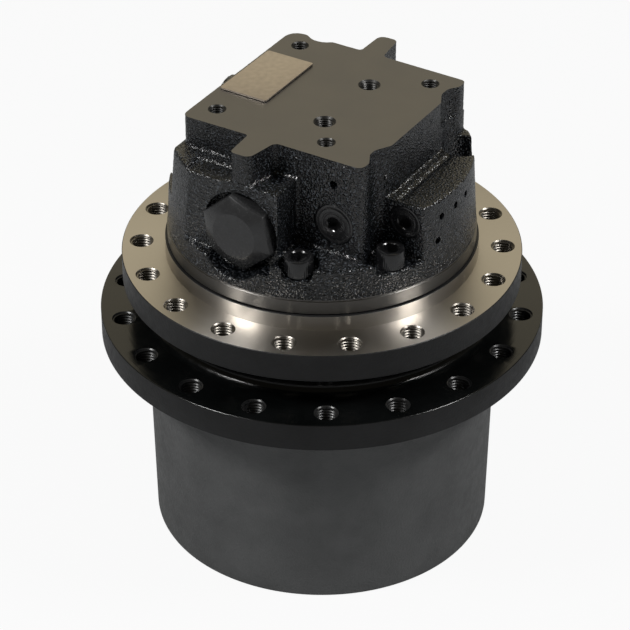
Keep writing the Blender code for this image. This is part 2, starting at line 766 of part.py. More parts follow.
def make_carrier():
    """The first stage's carrier, with its three pins pressed in and drawn as one with it."""
    bore_r = around(SUN_2_SHANK_R + GAP, PIN_STEPS)
    corners = []
    for angle in planet_angles():
        corners.append((*polar(CARRIER_R, angle - 0.42), 0.006))
        corners.append((*polar(CARRIER_R, angle + 0.42), 0.006))
        corners.append((*polar(0.72 * CARRIER_R, angle + math.pi / PLANETS), 0.012))
    carrier = extruded(
        "carrier_1", [rounded(corners), circle(bore_r, PIN_STEPS)], CARRIER_BOTTOM, CARRIER_TOP
    )
    for angle in planet_angles():
        x, y = polar(centre_distance(PLANET_1_TEETH), angle)
        foot = (x, y, CARRIER_PIN_BOTTOM)
        pin = rod("carrier_pin", CARRIER_PIN_R, foot, (x, y, CARRIER_BOTTOM + MODULE), PIN_STEPS)
        join(carrier, pin)
    return finish(carrier, MACHINED_IRON)


def spindle_profile():
    return [
        (SHAFT_SEAL_R, SPINDLE_BOTTOM),
        (SHAFT_SEAL_R, SHAFT_BEARING_FLOOR),
        (SHAFT_BEARING_R + GAP, SHAFT_BEARING_FLOOR),
        (SHAFT_BEARING_R + GAP, SPINDLE_FLOOR),
        (MOTOR_BORE_R, SPINDLE_FLOOR),
        (MOTOR_BORE_R, PILOT_TOP),
        (PILOT_R - EDGE, PILOT_TOP),
        (PILOT_R, PILOT_TOP - EDGE),
        (PILOT_R, FRAME_FLANGE_TOP),
        (FRAME_FLANGE_R - EDGE, FRAME_FLANGE_TOP),
        (FRAME_FLANGE_R, FRAME_FLANGE_TOP - EDGE),
        (FRAME_FLANGE_R, FRAME_FLANGE_BOTTOM),
        (LIP_R, FRAME_FLANGE_BOTTOM),
        (LIP_R, LIP_BOTTOM),
        (BEARING_BORE_R, LIP_BOTTOM),
        (BEARING_BORE_R, SEAL_POCKET_TOP),
        (SHOULDER_R, SEAL_POCKET_TOP),
        (SHOULDER_R, SHOULDER_Z),
        (BEARING_JOURNAL_R, SHOULDER_Z),
        (BEARING_JOURNAL_R, SPINDLE_BOTTOM),
    ]


def screw_places():
    return [polar(SCREW_CIRCLE_R, math.radians(a)) for a in SCREW_ANGLES]


def make_spindle():
    spindle = turned("spindle", spindle_profile())
    drills = hole_ring(
        "frame_holes",
        FRAME_HOLES,
        FRAME_HOLE_CIRCLE_R,
        FRAME_HOLE_START,
        FLANGE_HOLE_R,
        FRAME_FLANGE_BOTTOM - EDGE,
        FRAME_FLANGE_TOP + EDGE,
    )
    taps = []
    for x, y in screw_places():
        foot = (x, y, SCREW_BOTTOM - 2 * GAP)
        radius = around(SCREW_R + GAP, HOLE_STEPS)
        taps.append(rod("screw_tap", radius, foot, (x, y, PILOT_TOP + EDGE), HOLE_STEPS))
    pins = []
    for angle in planet_angles():
        x, y = polar(centre_distance(PLANET_2_TEETH), angle)
        radius = around(PIN_2_R + GAP, PIN_STEPS)
        top = (x, y, SPINDLE_BOTTOM + PIN_2_DEPTH + GAP)
        pins.append(rod("pin_bore", radius, (x, y, SPINDLE_BOTTOM - EDGE), top, PIN_STEPS))
    cut(spindle, drills, gathered("screw_taps", taps), gathered("pin_bores", pins))
    return finish(spindle, BRIGHT_STEEL)


def roller_outline(side):
    """Plan of the cage with its rollers standing out, on its outer (1) or inner (-1) side."""
    points = []
    for angle in hole_angles(ROLLERS, 0.0):
        centre = Vector(polar(ROLLER_CIRCLE_R, angle))
        for degrees in (-65, 0, 65):
            turn = angle + side * math.radians(degrees)
            points.append(tuple(centre + side * Vector(polar(ROLLER_R, turn))))
    return points


def make_main_bearing(number, bottom):
    top = bottom + BEARING_WIDTH
    race_inner_r = ROLLER_CIRCLE_R - ROLLER_R - GAP
    race_outer_r = ROLLER_CIRCLE_R + ROLLER_R + GAP
    name = f"main_bearing_inner_{number}"
    plain_ring(name, BEARING_JOURNAL_R + GAP, race_inner_r, bottom, top, BRIGHT_STEEL, RING_STEPS)
    name = f"main_bearing_outer_{number}"
    plain_ring(name, race_outer_r, BEARING_BORE_R - 2 * GAP, bottom, top, BRIGHT_STEEL, RING_STEPS)
    low = bottom + ROLLER_END_GAP
    high = top - ROLLER_END_GAP
    loops = [roller_outline(1), roller_outline(-1)]
    finish(extruded(f"roller_set_{number}", loops, low, high), BRONZE)


def make_bearing_nut():
    bore = around(BEARING_JOURNAL_R + GAP, RING_STEPS)
    low = RELIEF_BOTTOM
    high = BEARING_SEAT
    nut = turned("bearing_nut", [(bore, low), (NUT_R, low), (NUT_R, high), (bore, high)], RING_STEPS)
    slots = []
    for angle in hole_angles(4, math.pi / 4):
        x, y = polar(NUT_R, angle)
        slots.append(rod("nut_slot", MODULE, (x, y, low - EDGE), (x, y, low + MODULE), 8))
    cut(nut, gathered("nut_slots", slots))
    return finish(nut, DARK_STEEL)


def make_face_seal():
    """Two lapped rings that run face to face, each backed by a rubber ring."""
    half = GAP / 2
    low = [
        (SEAL_INNER_R, SEAL_BOTTOM),
        (SEAL_INNER_R, SEAL_FACE_Z - MODULE),
        (SEAL_FACE_INNER_R, SEAL_FACE_Z - half),
        (SEAL_OUTER_R, SEAL_FACE_Z - half),
        (SEAL_OUTER_R, SEAL_BOTTOM),
    ]
    high = [(r, 2 * SEAL_FACE_Z - z) for r, z in low]
    finish(turned("seal_ring_hub", low, RING_STEPS), DARK_STEEL)
    finish(turned("seal_ring_spindle", high, RING_STEPS), DARK_STEEL)
    ring_r = (SEAL_OUTER_R + BEARING_BORE_R) / 2
    for name, z in (("oring_hub", SEAL_BOTTOM + MODULE), ("oring_spindle", 2 * SEAL_FACE_Z - SEAL_BOTTOM - MODULE)):
        section = [(ring_r + ORING_R * c, z + ORING_R * s) for c, s in circle(1.0, 4)]
        finish(turned(name, section, RING_STEPS), SEAL_RUBBER)


def make_motor_shaft():
    socket_r = around(SUN_1_SHAFT_R + GAP, SHAFT_STEPS)
    bottom = SPINDLE_BOTTOM + 3 * GAP
    shaft = turned(
        "motor_shaft",
        [
            (0.0, SHAFT_SOCKET_TOP),
            (socket_r, SHAFT_SOCKET_TOP),
            (socket_r, bottom),
            (SHAFT_R, bottom),
            (SHAFT_R, SHAFT_TOP - EDGE),
            (SHAFT_R - EDGE, SHAFT_TOP),
            (0.0, SHAFT_TOP),
        ],
        SHAFT_STEPS,
    )
    return finish(shaft, BRIGHT_STEEL)


def plain_ring(name, inner_r, outer_r, bottom, top, look, steps=SHAFT_STEPS):
    bore = around(inner_r, steps)
    points = [(bore, bottom), (outer_r, bottom), (outer_r, top), (bore, top)]
    return finish(turned(name, points, steps), look)


def make_shaft_supports():
    bore = SHAFT_R + GAP
    seal_bottom = SPINDLE_BOTTOM + GAP
    seal_top = SHAFT_BEARING_FLOOR - GAP
    plain_ring("shaft_seal", bore, SHAFT_SEAL_R - GAP, seal_bottom, seal_top, SEAL_RUBBER)
    low = SHAFT_BEARING_FLOOR + GAP
    plain_ring("shaft_bearing_lower", bore, SHAFT_BEARING_R, low, SPINDLE_FLOOR - GAP, BRIGHT_STEEL)
    low = PILOT_TOP + 3 * GAP
    plain_ring("shaft_bearing_upper", bore, SHAFT_BEARING_R, low, SHAFT_TOP, BRIGHT_STEEL)


def make_rotating_group():
    plain_ring("swash_plate", SHAFT_BEARING_R, SWASH_R, SPINDLE_FLOOR + GAP, SWASH_TOP, DARK_STEEL)
    retainer_bottom = SWASH_TOP + GAP
    retainer_top = retainer_bottom + RETAINER_THICKNESS
    inner_r = 2 * PISTON_CIRCLE_R - RETAINER_R
    pistons = turned(
        "piston_set",
        [
            (inner_r, retainer_bottom),
            (RETAINER_R, retainer_bottom),
            (RETAINER_R, retainer_top),
            (inner_r, retainer_top),
        ],
        SHAFT_STEPS,
    )
    stems = []
    bores = []
    for angle in hole_angles(PISTONS, 0.0):
        x, y = polar(PISTON_CIRCLE_R, angle)
        stems.append(rod("piston", PISTON_R, (x, y, retainer_top - EDGE), (x, y, PISTON_TOP), HOLE_STEPS))
        bore = around(PISTON_R + GAP, HOLE_STEPS)
        bores.append(rod("piston_bore", bore, (x, y, BLOCK_BOTTOM - EDGE), (x, y, BLOCK_BORE_TOP), HOLE_STEPS))
    join(pistons, gathered("pistons", stems))
    finish(pistons, BRONZE)
    shaft_bore = around(SHAFT_R + GAP, SHAFT_STEPS)
    cylinder_block = turned(
        "cylinder_block",
        [
            (shaft_bore, BLOCK_BOTTOM),
            (shaft_bore, BLOCK_TOP),
            (BLOCK_R, BLOCK_TOP),
            (BLOCK_R, BLOCK_BOTTOM),
        ],
        SHAFT_STEPS,
    )
    cut(cylinder_block, gathered("piston_bores", bores))
    finish(cylinder_block, DARK_STEEL)


def kidney(start, end):
    """A curved slot on the piston circle, with the wide side at the ends squared off."""
    steps = 6
    angles = [start + (end - start) * i / steps for i in range(steps + 1)]
    outer = [polar(PISTON_CIRCLE_R + KIDNEY_R, a) for a in angles]
    inner = [polar(PISTON_CIRCLE_R - KIDNEY_R, a) for a in reversed(angles)]
    return outer + inner


def make_valve_plate():
    bottom = BLOCK_TOP + GAP
    top = PILOT_TOP - GAP
    loops = [
        circle(VALVE_PLATE_R, SHAFT_STEPS),
        circle(SHAFT_R + MODULE, PIN_STEPS),
        kidney(math.radians(-70), math.radians(70)),
        kidney(math.radians(110), math.radians(250)),
    ]
    return finish(extruded("valve_plate", loops, bottom, top), BRONZE)


def make_brake():
    """Parking brake: discs on the cylinder block between plates in the spindle bore, under a ring piston."""
    outer = MOTOR_BORE_R - 2 * GAP
    z = BRAKE_STACK_BOTTOM
    pitch = BRAKE_PLATE + GAP
    for number in (1, 2):
        name = f"brake_plate_{number}"
        plain_ring(name, BRAKE_PLATE_INNER_R, outer, z, z + BRAKE_PLATE, MACHINED_IRON)
        z += pitch
        plain_ring(f"brake_disc_{number}", BLOCK_R + GAP, BRAKE_DISC_R, z, z + BRAKE_PLATE, DARK_STEEL)
        z += pitch
    groove = 2 * EDGE
    piston = turned(
        "brake_piston",
        [
            (BRAKE_PLATE_INNER_R, z),
            (BRAKE_DISC_R, z),
            (BRAKE_DISC_R, z + BRAKE_PLATE),
            (outer, z + 2 * BRAKE_PLATE),
            (outer, BRAKE_PISTON_TOP - 2 * BRAKE_PLATE),
            (outer - groove, BRAKE_PISTON_TOP - 2 * BRAKE_PLATE),
            (outer - groove, BRAKE_PISTON_TOP - BRAKE_PLATE),
            (outer, BRAKE_PISTON_TOP - BRAKE_PLATE),
            (outer, BRAKE_PISTON_TOP),
            (BRAKE_PLATE_INNER_R, BRAKE_PISTON_TOP),
        ],
        RING_STEPS,
    )
    return finish(piston, MACHINED_IRON)


def plate_corners():
    """The machined top's outline, with a rib at the front and the back and dents beside two screws."""
    left = PLATE_LEFT
    right = PLATE_RIGHT
    front = PLATE_FRONT
    back = PLATE_BACK
    return [
        (left, back, 0.009),
        (left, front - 0.0006, 0.005),
        (-0.0160, front, 0.0015),
        (-0.0145, FRONT_BOSS_Y + GAP, 0.003),
        (-0.0010, FRONT_BOSS_Y + GAP, 0.005),
        (0.0032, front, 0.004),
        (right - 0.001, front, 0.005),
        (right - 0.001, -0.0520, 0.003),
        (0.0592, -0.0430, 0.004),
        (0.0592, -0.0370, 0.004),
        (right, -0.0270, 0.004),
        (right, 0.0345, 0.006),
        (0.0600, 0.0440, 0.006),
        (0.0600, 0.0520, 0.005),
        (right, 0.0585, 0.002),
        (right, back - 0.001, 0.0035),
        (0.0042, back, 0.003),
        (0.0015, REAR_BOSS_Y - GAP, 0.0035),
        (-0.0115, REAR_BOSS_Y - GAP, 0.005),
        (-0.0120, back, 0.002),
    ]


def y_prism(name, corners, front, back):
    """An outline of (x, z) corners, extruded along Y from front to back."""
    prism = extruded(name, [corners], -back, -front)
    prism.matrix_world = Matrix.Rotation(math.radians(90), 4, "X") @ prism.matrix_world
    return prism


def cover_waste():
    """Everything that the cast drum lacks above its ledges."""
    top = PLATE_TOP + 0.010
    out = OUTSIDE
    right_front = block("waste_right_front", (BOSS_RIGHT, -out, LEDGE), (out, PLATE_FRONT + EDGE, top))
    recess = block("waste_recess", (PLATE_RIGHT - 0.012, PLATE_FRONT - GAP, SCREW_FLOOR), (out, RIGHT_BLOCK_FRONT, top))
    shelf = block("waste_shelf", (-out, -out, SCREW_FLOOR), (BOSS_RIGHT + GAP, FRONT_BOSS_Y, top))
    left = y_prism(
        "waste_left",
        [(LEFT_WALL, top), (LEFT_WALL, DRUM_TOP), (LEFT_WALL_FOOT, LEFT_LEDGE), (-out, LEFT_LEDGE), (-out, top)],
        -out,
        PLATE_BACK - 2 * EDGE,
    )
    right_top = block("waste_right_top", (PLATE_RIGHT - EDGE, RIGHT_BLOCK_FRONT - EDGE, RIGHT_TOP), (out, out, top))
    back_right = block("waste_back_right", (BOSS_RIGHT, PLATE_BACK - EDGE, LEDGE), (out, out, top))
    back_left = block("waste_back_left", (-out, PLATE_BACK - EDGE, LEDGE), (REAR_BOSS_LEFT, out, top))
    back_shelf = block("waste_back_shelf", (REAR_BOSS_LEFT - EDGE, REAR_BOSS_Y, LEDGE), (BOSS_RIGHT + EDGE, out, top))
    groove_floor = RIGHT_TOP - GROOVE_DEPTH
    groove = block("waste_groove", (*GROOVE_LOW, groove_floor), (*GROOVE_HIGH, top))
    pad_floor = DRUM_TOP - PAD_DEPTH
    pad = block("waste_pad", (PAD_LEFT, -out, pad_floor), (PAD_RIGHT, PAD_BACK, top))
    return [right_front, recess, shelf, left, right_top, back_right, back_left, back_shelf, groove, pad]


def screw_pockets():
    pockets = []
    for x, y in screw_places():
        foot = (x, y, SCREW_FLOOR)
        pockets.append(rod("screw_pocket", SCREW_POCKET_R, foot, (x, y, PLATE_TOP + 0.02), PIN_STEPS))
    return gathered("screw_pockets", pockets)


def screw_bores():
    bores = []
    for x, y in screw_places():
        radius = around(SCREW_R + GAP, HOLE_STEPS)
        foot = (x, y, PILOT_TOP - EDGE)
        bores.append(rod("screw_bore", radius, foot, (x, y, SCREW_FLOOR + EDGE), HOLE_STEPS))
    return gathered("screw_bores", bores)


def spool_chest():
    """The two spool bores with their plug and cap seats, each a stepped hole along Y."""
    x, z = SPOOL_X, SPOOL_Z
    main = rod("spool_bore", around(SPOOL_BORE_R, SHAFT_STEPS), (x, FRONT_BOSS_Y - EDGE, z), (x, REAR_BOSS_Y + EDGE, z))
    seat_r = around(CAP_SHANK_R + GAP, SHAFT_STEPS)
    front = rod("front_cap_bore", seat_r, (x, -out_of(FRONT_BOSS_Y), z), (x, FRONT_BOSS_Y + CAP_SHANK + GAP, z))
    rear = rod("rear_cap_bore", seat_r, (x, REAR_BOSS_Y - CAP_SHANK - GAP, z), (x, out_of(REAR_BOSS_Y), z))
    scoop_r = CAP_SEAT_R + CAP_SCOOP
    front_scoop = rod("front_scoop", scoop_r, (x, -OUTSIDE, z), (x, FRONT_BOSS_Y, z), RING_STEPS)
    rear_scoop = rod("rear_scoop", scoop_r, (x, REAR_BOSS_Y, z), (x, OUTSIDE, z), RING_STEPS)
    recess_r = around(CAP_SEAT_R, RING_STEPS)
    front_recess = rod("front_recess", recess_r, (x, -OUTSIDE, z), (x, FRONT_BOSS_Y + CAP_SINK, z), RING_STEPS)
    rear_recess = rod("rear_recess", recess_r, (x, REAR_BOSS_Y - CAP_SINK, z), (x, OUTSIDE, z), RING_STEPS)
    speed_r = around(SPEED_BORE_R, SHAFT_STEPS)
    speed = rod("speed_bore", speed_r, (SPEED_X, PLATE_FRONT - EDGE, SPEED_Z), (SPEED_X, SPEED_BORE_END, SPEED_Z))
    plug_r = around(PLUG_R + GAP, SHAFT_STEPS)
    plug_floor = PLATE_FRONT + PLUG_THICKNESS + GAP
    plug = rod("plug_seat", plug_r, (SPEED_X, -out_of(PLATE_FRONT), SPEED_Z), (SPEED_X, plug_floor, SPEED_Z))
    side_r = around(SIDE_PLUG_R + GAP, SHAFT_STEPS)
    side_floor = RIGHT_BLOCK_FRONT + PLUG_THICKNESS + PLUG_TAIL + GAP
    side_start = (SIDE_PLUG_X, RIGHT_BLOCK_FRONT - EDGE, SIDE_PLUG_Z)
    side = rod("side_plug_seat", side_r, side_start, (SIDE_PLUG_X, side_floor, SIDE_PLUG_Z))
    return [main, front, rear, front_scoop, rear_scoop, front_recess, rear_recess, speed, plug, side]


def out_of(value):
    """A distance a little past a face, for a cutter that has to reach outside."""
    return abs(value) + 0.004


def port_bores():
    bores = []
    for x in (PORT_A_X, PORT_B_X):
        start = (x, PLATE_BACK - PORT_DEPTH, PORT_Z)
        bores.append(rod("port_bore", PORT_R, start, (x, out_of(PLATE_BACK), PORT_Z), PIN_STEPS))
    start = (LEFT_WALL, DRAIN_Y, DRAIN_Z)
    bores.append(rod("drain_bore", DRAIN_PORT_R, start, (-out_of(DRAIN_BOSS_X), DRAIN_Y, DRAIN_Z), HOLE_STEPS))
    return gathered("port_bores", bores)


def small_holes():
    holes = []
    for x, y in TOP_HOLES:
        foot = (x, y, PLATE_TOP - TOP_HOLE_DEPTH)
        holes.append(rod("top_hole", TOP_HOLE_R, foot, (x, y, PLATE_TOP + EDGE), HOLE_STEPS))
    for x, y in GAUGE_PORTS:
        foot = (x, y, PLATE_TOP - TOP_HOLE_DEPTH)
        holes.append(rod("gauge_port", GAUGE_PORT_R, foot, (x, y, PLATE_TOP + EDGE), HOLE_STEPS))
    for degrees, rise in PIN_HOLES:
        angle = math.radians(degrees)
        inner = polar(DRUM_TOP_R - PIN_HOLE_DEPTH, angle)
        outer = polar(DRUM_R + EDGE, angle)
        z = SPOOL_Z + rise
        holes.append(rod("pin_hole", PIN_HOLE_R, (*inner, z), (*outer, z), 6))
    x, z = WALL_HOLE_X, WALL_HOLE_Z
    start = (x, PLATE_FRONT + PIN_HOLE_DEPTH, z)
    holes.append(rod("wall_hole", PIN_HOLE_R, start, (x, PLATE_FRONT - EDGE, z), 6))
    return gathered("small_holes", holes)


def make_motor_cover():
    bottom = PILOT_TOP + GAP
    drum = turned(
        "motor_cover",
        [
            (0.0, bottom),
            (BAND_R, bottom),
            (BAND_R, BAND_TOP),
            (DRUM_R, BAND_TOP + EDGE),
            (DRUM_TOP_R, DRUM_TOP - DRUM_ROUND),
            (DRUM_TOP_R - DRUM_ROUND, DRUM_TOP),
            (0.0, DRUM_TOP),
        ],
    )
    cut(drum, *cover_waste())
    join(drum, extruded("cover_top", [rounded(plate_corners())], PLATE_FOOT, PLATE_TOP))
    start = (LEFT_WALL + EDGE, DRAIN_Y, DRAIN_Z)
    join(drum, rod("drain_boss", DRAIN_BOSS_R, start, (DRAIN_BOSS_X, DRAIN_Y, DRAIN_Z), 16))
    cut(drum, screw_pockets(), screw_bores(), *spool_chest(), port_bores(), small_holes())
    pocket_r = around(SHAFT_BEARING_R + GAP, SHAFT_STEPS)
    pocket_top = SHAFT_TOP + BRAKE_PLATE
    cut(drum, rod("shaft_pocket", pocket_r, (0, 0, bottom - EDGE), (0, 0, pocket_top)))
    return finish(drum, CAST_BLACK)


def make_nameplate():
    x, y = NAMEPLATE_CENTRE
    width, height = NAMEPLATE_SIZE
    bottom = PLATE_TOP + GAP
    low = (x - width / 2, y - height / 2, bottom)
    high = (x + width / 2, y + height / 2, bottom + NAMEPLATE_THICKNESS)
    return finish(block("nameplate", low, high), PALE_BRASS)


def make_cover_screws():
    seat = SCREW_FLOOR + GAP
    top = seat + SCREW_HEAD
    for number, (x, y) in enumerate(screw_places(), 1):
        screw = turned(
            f"cover_screw_{number}",
            [
                (0.0, SCREW_BOTTOM),
                (SCREW_R, SCREW_BOTTOM),
                (SCREW_R, seat),
                (SCREW_HEAD_R, seat),
                (SCREW_HEAD_R, top - EDGE),
                (SCREW_HEAD_R - EDGE, top),
                (0.0, top),
            ],
            PIN_STEPS,
        )
        cut(screw, rod("hex_socket", SCREW_HEX_R, (0, 0, top - SCREW_HEX_DEPTH), (0, 0, top + EDGE), 6))
        place_helper(screw, (x, y, 0.0))
        finish(screw, BLACK_OXIDE)


def place_helper(obj, location):
    """Moves a turned piece and its cutters together."""
    for modifier in obj.modifiers:
        if modifier.type == "BOOLEAN":
            modifier.object.location = Vector(location) + modifier.object.location
    obj.location = location


def face_out(obj, x, y, z, direction):
    """Lays a piece turned about Z along Y, with its top towards the front (-1) or the rear (1)."""
    lay = Matrix.Rotation(math.radians(-90 * direction), 4, "X")
    obj.matrix_world = Matrix.Translation((x, y, z)) @ lay
    bpy.context.view_layer.update()
    return obj


def cap_profile():
    return [
        (0.0, CAP_POCKET - CAP_SHANK),
        (CAP_POCKET_R, CAP_POCKET - CAP_SHANK),
        (CAP_POCKET_R, -CAP_SHANK),
        (CAP_SHANK_R, -CAP_SHANK),
        (CAP_SHANK_R, GAP - CAP_SINK),
        (CAP_SEAT_R, GAP - CAP_SINK),
        (CAP_SEAT_R, CAP_HEAD - CAP_CONE),
        (CAP_FACE_R, CAP_HEAD),
        (0.0, CAP_HEAD),
    ]


def make_spool_caps():
    """Hexagon heads under a cone, sunk in the bosses."""
    for name, wall, out in (("spool_cap_front", FRONT_BOSS_Y, -1), ("spool_cap_rear", REAR_BOSS_Y, 1)):
        cap = face_out(turned(name, cap_profile(), RING_STEPS), SPOOL_X, wall, SPOOL_Z, out)
        inner = (SPOOL_X, wall - out * (CAP_SHANK + EDGE), SPOOL_Z)
        outer = (SPOOL_X, wall + out * (CAP_HEAD + EDGE), SPOOL_Z)
        hexagon = rod(f"{name}_hexagon", around(CAP_FLATS_R, 6), inner, outer, 6, CAP_TURN)
        boolean(cap, "INTERSECT", [hexagon])
        finish(cap, BLACK_OXIDE)


def spool_profile(radius, low, high, lands):
    """A spool with grooves between its lands, as a solid of revolution."""
    neck = 0.65 * radius
    step = (high - low) / (2 * lands - 1)
    points = [(0.0, low)]
    for land in range(lands):
        start = low + 2 * land * step
        points += [(radius, start), (radius, start + step)]
        if land < lands - 1:
            points += [(neck, start + step), (neck, start + 2 * step)]
    return points + [(0.0, high)]


def make_spools():
    middle = (FRONT_BOSS_Y + REAR_BOSS_Y) / 2
    main = turned("counterbalance_spool", spool_profile(SPOOL_BORE_R - GAP, -SPOOL_HALF, SPOOL_HALF, 3), PIN_STEPS)
    finish(face_out(main, SPOOL_X, middle, SPOOL_Z, 1), BRIGHT_STEEL)
    low = SPEED_SPOOL_FRONT
    high = SPEED_SPOOL_BACK
    speed = turned("speed_spool", spool_profile(SPEED_BORE_R - GAP, low, high, 2), PIN_STEPS)
    finish(face_out(speed, SPEED_X, 0.0, SPEED_Z, 1), BRIGHT_STEEL)


def make_spring(name, start, end):
    """A coil about the spool axis, between two heights along Y."""
    per_turn = 8
    count = SPRING_TURNS * per_turn
    first = start + SPRING_WIRE_R + GAP
    last = end - SPRING_WIRE_R - GAP
    curve = bpy.data.curves.new(name, "CURVE")
    curve.dimensions = "3D"
    curve.bevel_depth = SPRING_WIRE_R
    curve.bevel_resolution = 0
    curve.use_fill_caps = True
    spline = curve.splines.new("POLY")
    spline.points.add(count)
    for i, point in enumerate(spline.points):
        x, z = polar(SPRING_R, 2 * math.pi * i / per_turn)
        y = first + (last - first) * i / count
        point.co = (x, y, z, 1)
    obj = add_object(name, curve, CUTTERS)
    obj.location = (SPOOL_X, 0.0, SPOOL_Z)
    finish(obj, DARK_STEEL)


def make_springs():
    middle = (FRONT_BOSS_Y + REAR_BOSS_Y) / 2
    front_seat = FRONT_BOSS_Y + CAP_SHANK - CAP_POCKET
    rear_seat = REAR_BOSS_Y - CAP_SHANK + CAP_POCKET
    make_spring("spool_spring_front", front_seat, middle - SPOOL_HALF)
    make_spring("spool_spring_rear", middle + SPOOL_HALF, rear_seat)


def plug_profile(radius, tail_r):
    return [
        (0.0, -PLUG_THICKNESS - PLUG_TAIL),
        (tail_r, -PLUG_THICKNESS - PLUG_TAIL),
        (tail_r, -PLUG_THICKNESS),
        (radius, -PLUG_THICKNESS),
        (radius, -EDGE),
        (radius - EDGE, 0.0),
        (0.0, 0.0),
    ]


def make_hex_plug(name, radius, tail_r, x, y, z):
    plug = turned(name, plug_profile(radius, tail_r), SHAFT_STEPS)
    face_out(plug, x, y, z, -1)
    cut(plug, rod(f"{name}_socket", PLUG_SOCKET_R, (x, y + PLUG_SOCKET, z), (x, y - EDGE, z), 6))
    finish(plug, BLACK_OXIDE)


def make_plugs():
    tail_r = SPEED_BORE_R - GAP
    make_hex_plug("hex_plug_front", PLUG_R, tail_r, SPEED_X, PLATE_FRONT, SPEED_Z)
    make_hex_plug("hex_plug_side", SIDE_PLUG_R, tail_r, SIDE_PLUG_X, RIGHT_BLOCK_FRONT, SIDE_PLUG_Z)


def main():
    make_hub()
    make_hub_cover()
    for name, (x, y) in plug_places().items():
        make_cover_plug(name, x, y)
    make_snap_ring()
    make_planets(1, PLANET_1_TEETH, PLANET_1_BOTTOM, PLANET_1_TOP, CARRIER_PIN_R)
    make_planets(2, PLANET_2_TEETH, PLANET_2_BOTTOM, PLANET_2_TOP, PIN_2_R)
    make_stage_2_pins()
    make_sun_1()
    make_sun_2()
    make_carrier()
    make_spindle()
    make_main_bearing(1, BEARING_SEAT + GAP)
    make_main_bearing(2, BEARING_SEAT + BEARING_WIDTH + 2 * GAP)
    make_bearing_nut()
    make_face_seal()
    make_motor_shaft()
    make_shaft_supports()
    make_rotating_group()
    make_valve_plate()
    make_brake()
    make_motor_cover()
    make_nameplate()
    make_cover_screws()
    make_spool_caps()
    make_spools()
    make_springs()
    make_plugs()


main()
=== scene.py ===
"""The looks of an excavator final drive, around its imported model."""

import json
import math

import bmesh
import bpy
import numpy as np
from mathutils import Matrix, Vector

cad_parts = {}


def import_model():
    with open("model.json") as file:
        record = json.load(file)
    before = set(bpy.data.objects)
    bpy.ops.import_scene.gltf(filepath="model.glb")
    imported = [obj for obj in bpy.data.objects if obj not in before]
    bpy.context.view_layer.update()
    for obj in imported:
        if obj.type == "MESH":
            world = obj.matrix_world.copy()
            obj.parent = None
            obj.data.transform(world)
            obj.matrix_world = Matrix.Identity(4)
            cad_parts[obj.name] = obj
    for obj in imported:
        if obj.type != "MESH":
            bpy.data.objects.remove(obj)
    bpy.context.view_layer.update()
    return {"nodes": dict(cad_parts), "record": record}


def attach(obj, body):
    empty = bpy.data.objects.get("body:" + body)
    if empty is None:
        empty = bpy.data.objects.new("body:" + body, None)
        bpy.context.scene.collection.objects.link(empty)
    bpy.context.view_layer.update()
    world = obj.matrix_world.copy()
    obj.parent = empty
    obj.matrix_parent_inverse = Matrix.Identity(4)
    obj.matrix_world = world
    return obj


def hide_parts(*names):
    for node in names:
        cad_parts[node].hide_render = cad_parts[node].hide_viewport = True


# Fineness of the shown meshes
LATHE_STEPS = 192
FINE_STEPS = 96
HOLE_STEPS = 32
THREAD_STEPS = 24
THREAD_ROWS = 6
VOXEL = 0.0010
CAST_SMOOTHING = 3
GRAIN = 0.00042
GRAIN_SIZE = 0.0016

# Chamfer of the edges, and gap between pieces
EDGE = 0.0007
GAP = 0.0003

# How near a face lies to the form that a rule for its material names
TOLERANCE = 0.0001
FLUSH = 0.00002

# Turning hub
HUB_FOOT_R = 0.1107
HUB_TOP_R = 0.1134
HUB_FOOT_ROUND = 0.0023
SPROCKET_FLANGE_R = 0.1430
SPROCKET_FLANGE_BOTTOM = 0.1404
SPROCKET_FLANGE_TOP = 0.1591
SPROCKET_HOLE_CIRCLE_R = 0.1292
SPROCKET_HOLE_START = 2.21
NECK_R = 0.1090
NECK_ROOT = 0.0070
NECK_TOP = 0.1785
NECK_BORE_R = 0.1010
HUB_WALL = 0.0100
HUB_INNER_TOP = 0.1000

# End cover
COVER_R = 0.0970
COVER_BOTTOM = 0.0063
COVER_TOP = 0.0147
COVER_DISH_R = 0.0800
COVER_DISH = 0.0022
PLUG_CIRCLE_R = 0.0600
COVER_PLUG_R = 0.0112

# Frame flange and pilot
FRAME_FLANGE_R = 0.1280
FRAME_FLANGE_BOTTOM = 0.1810
FRAME_FLANGE_TOP = 0.2000
FRAME_HOLE_CIRCLE_R = 0.1156
FRAME_HOLE_START = 9.53
PILOT_R = 0.1000
PILOT_TOP = 0.2100
LIP_R = 0.0995
LIP_BOTTOM = 0.1690
MOTOR_BORE_R = 0.0620

# Threads of the flange holes
FLANGE_HOLES = 18
THREAD_R = 0.0070
THREAD_DEPTH = 0.0010
THREAD_PITCH = 0.0020
THREAD_WALL = 0.0003
MOUTH = 0.0007

# Cast motor cover
BAND_R = 0.0985
BAND_TOP = 0.2200
BAND_BORE_R = 0.0400
BAND_CHAMFER = 0.0012
DRUM_R = 0.0980
DRUM_TOP_R = 0.0946
DRUM_TOP = 0.2845
DRUM_ROUND = 0.0025
PLATE_TOP = 0.3050
PLATE_FOOT = 0.2250
PLATE_LEFT = -0.0637
PLATE_RIGHT = 0.0650
PLATE_FRONT = -0.0607
PLATE_BACK = 0.0680
FRONT_BOSS_Y = -0.0840
REAR_BOSS_Y = 0.0920
BOSS_RIGHT = 0.0190
REAR_BOSS_LEFT = -0.0340
LEDGE = 0.2405
LEFT_LEDGE = 0.2480
LEFT_WALL = -0.0660
LEFT_WALL_FOOT = -0.0700
RIGHT_TOP = 0.2705
GROOVE_LOW = (0.0705, -0.0290)
GROOVE_HIGH = (0.0745, 0.0350)
GROOVE_DEPTH = 0.0015
PAD_LEFT = -0.0470
PAD_RIGHT = -0.0200
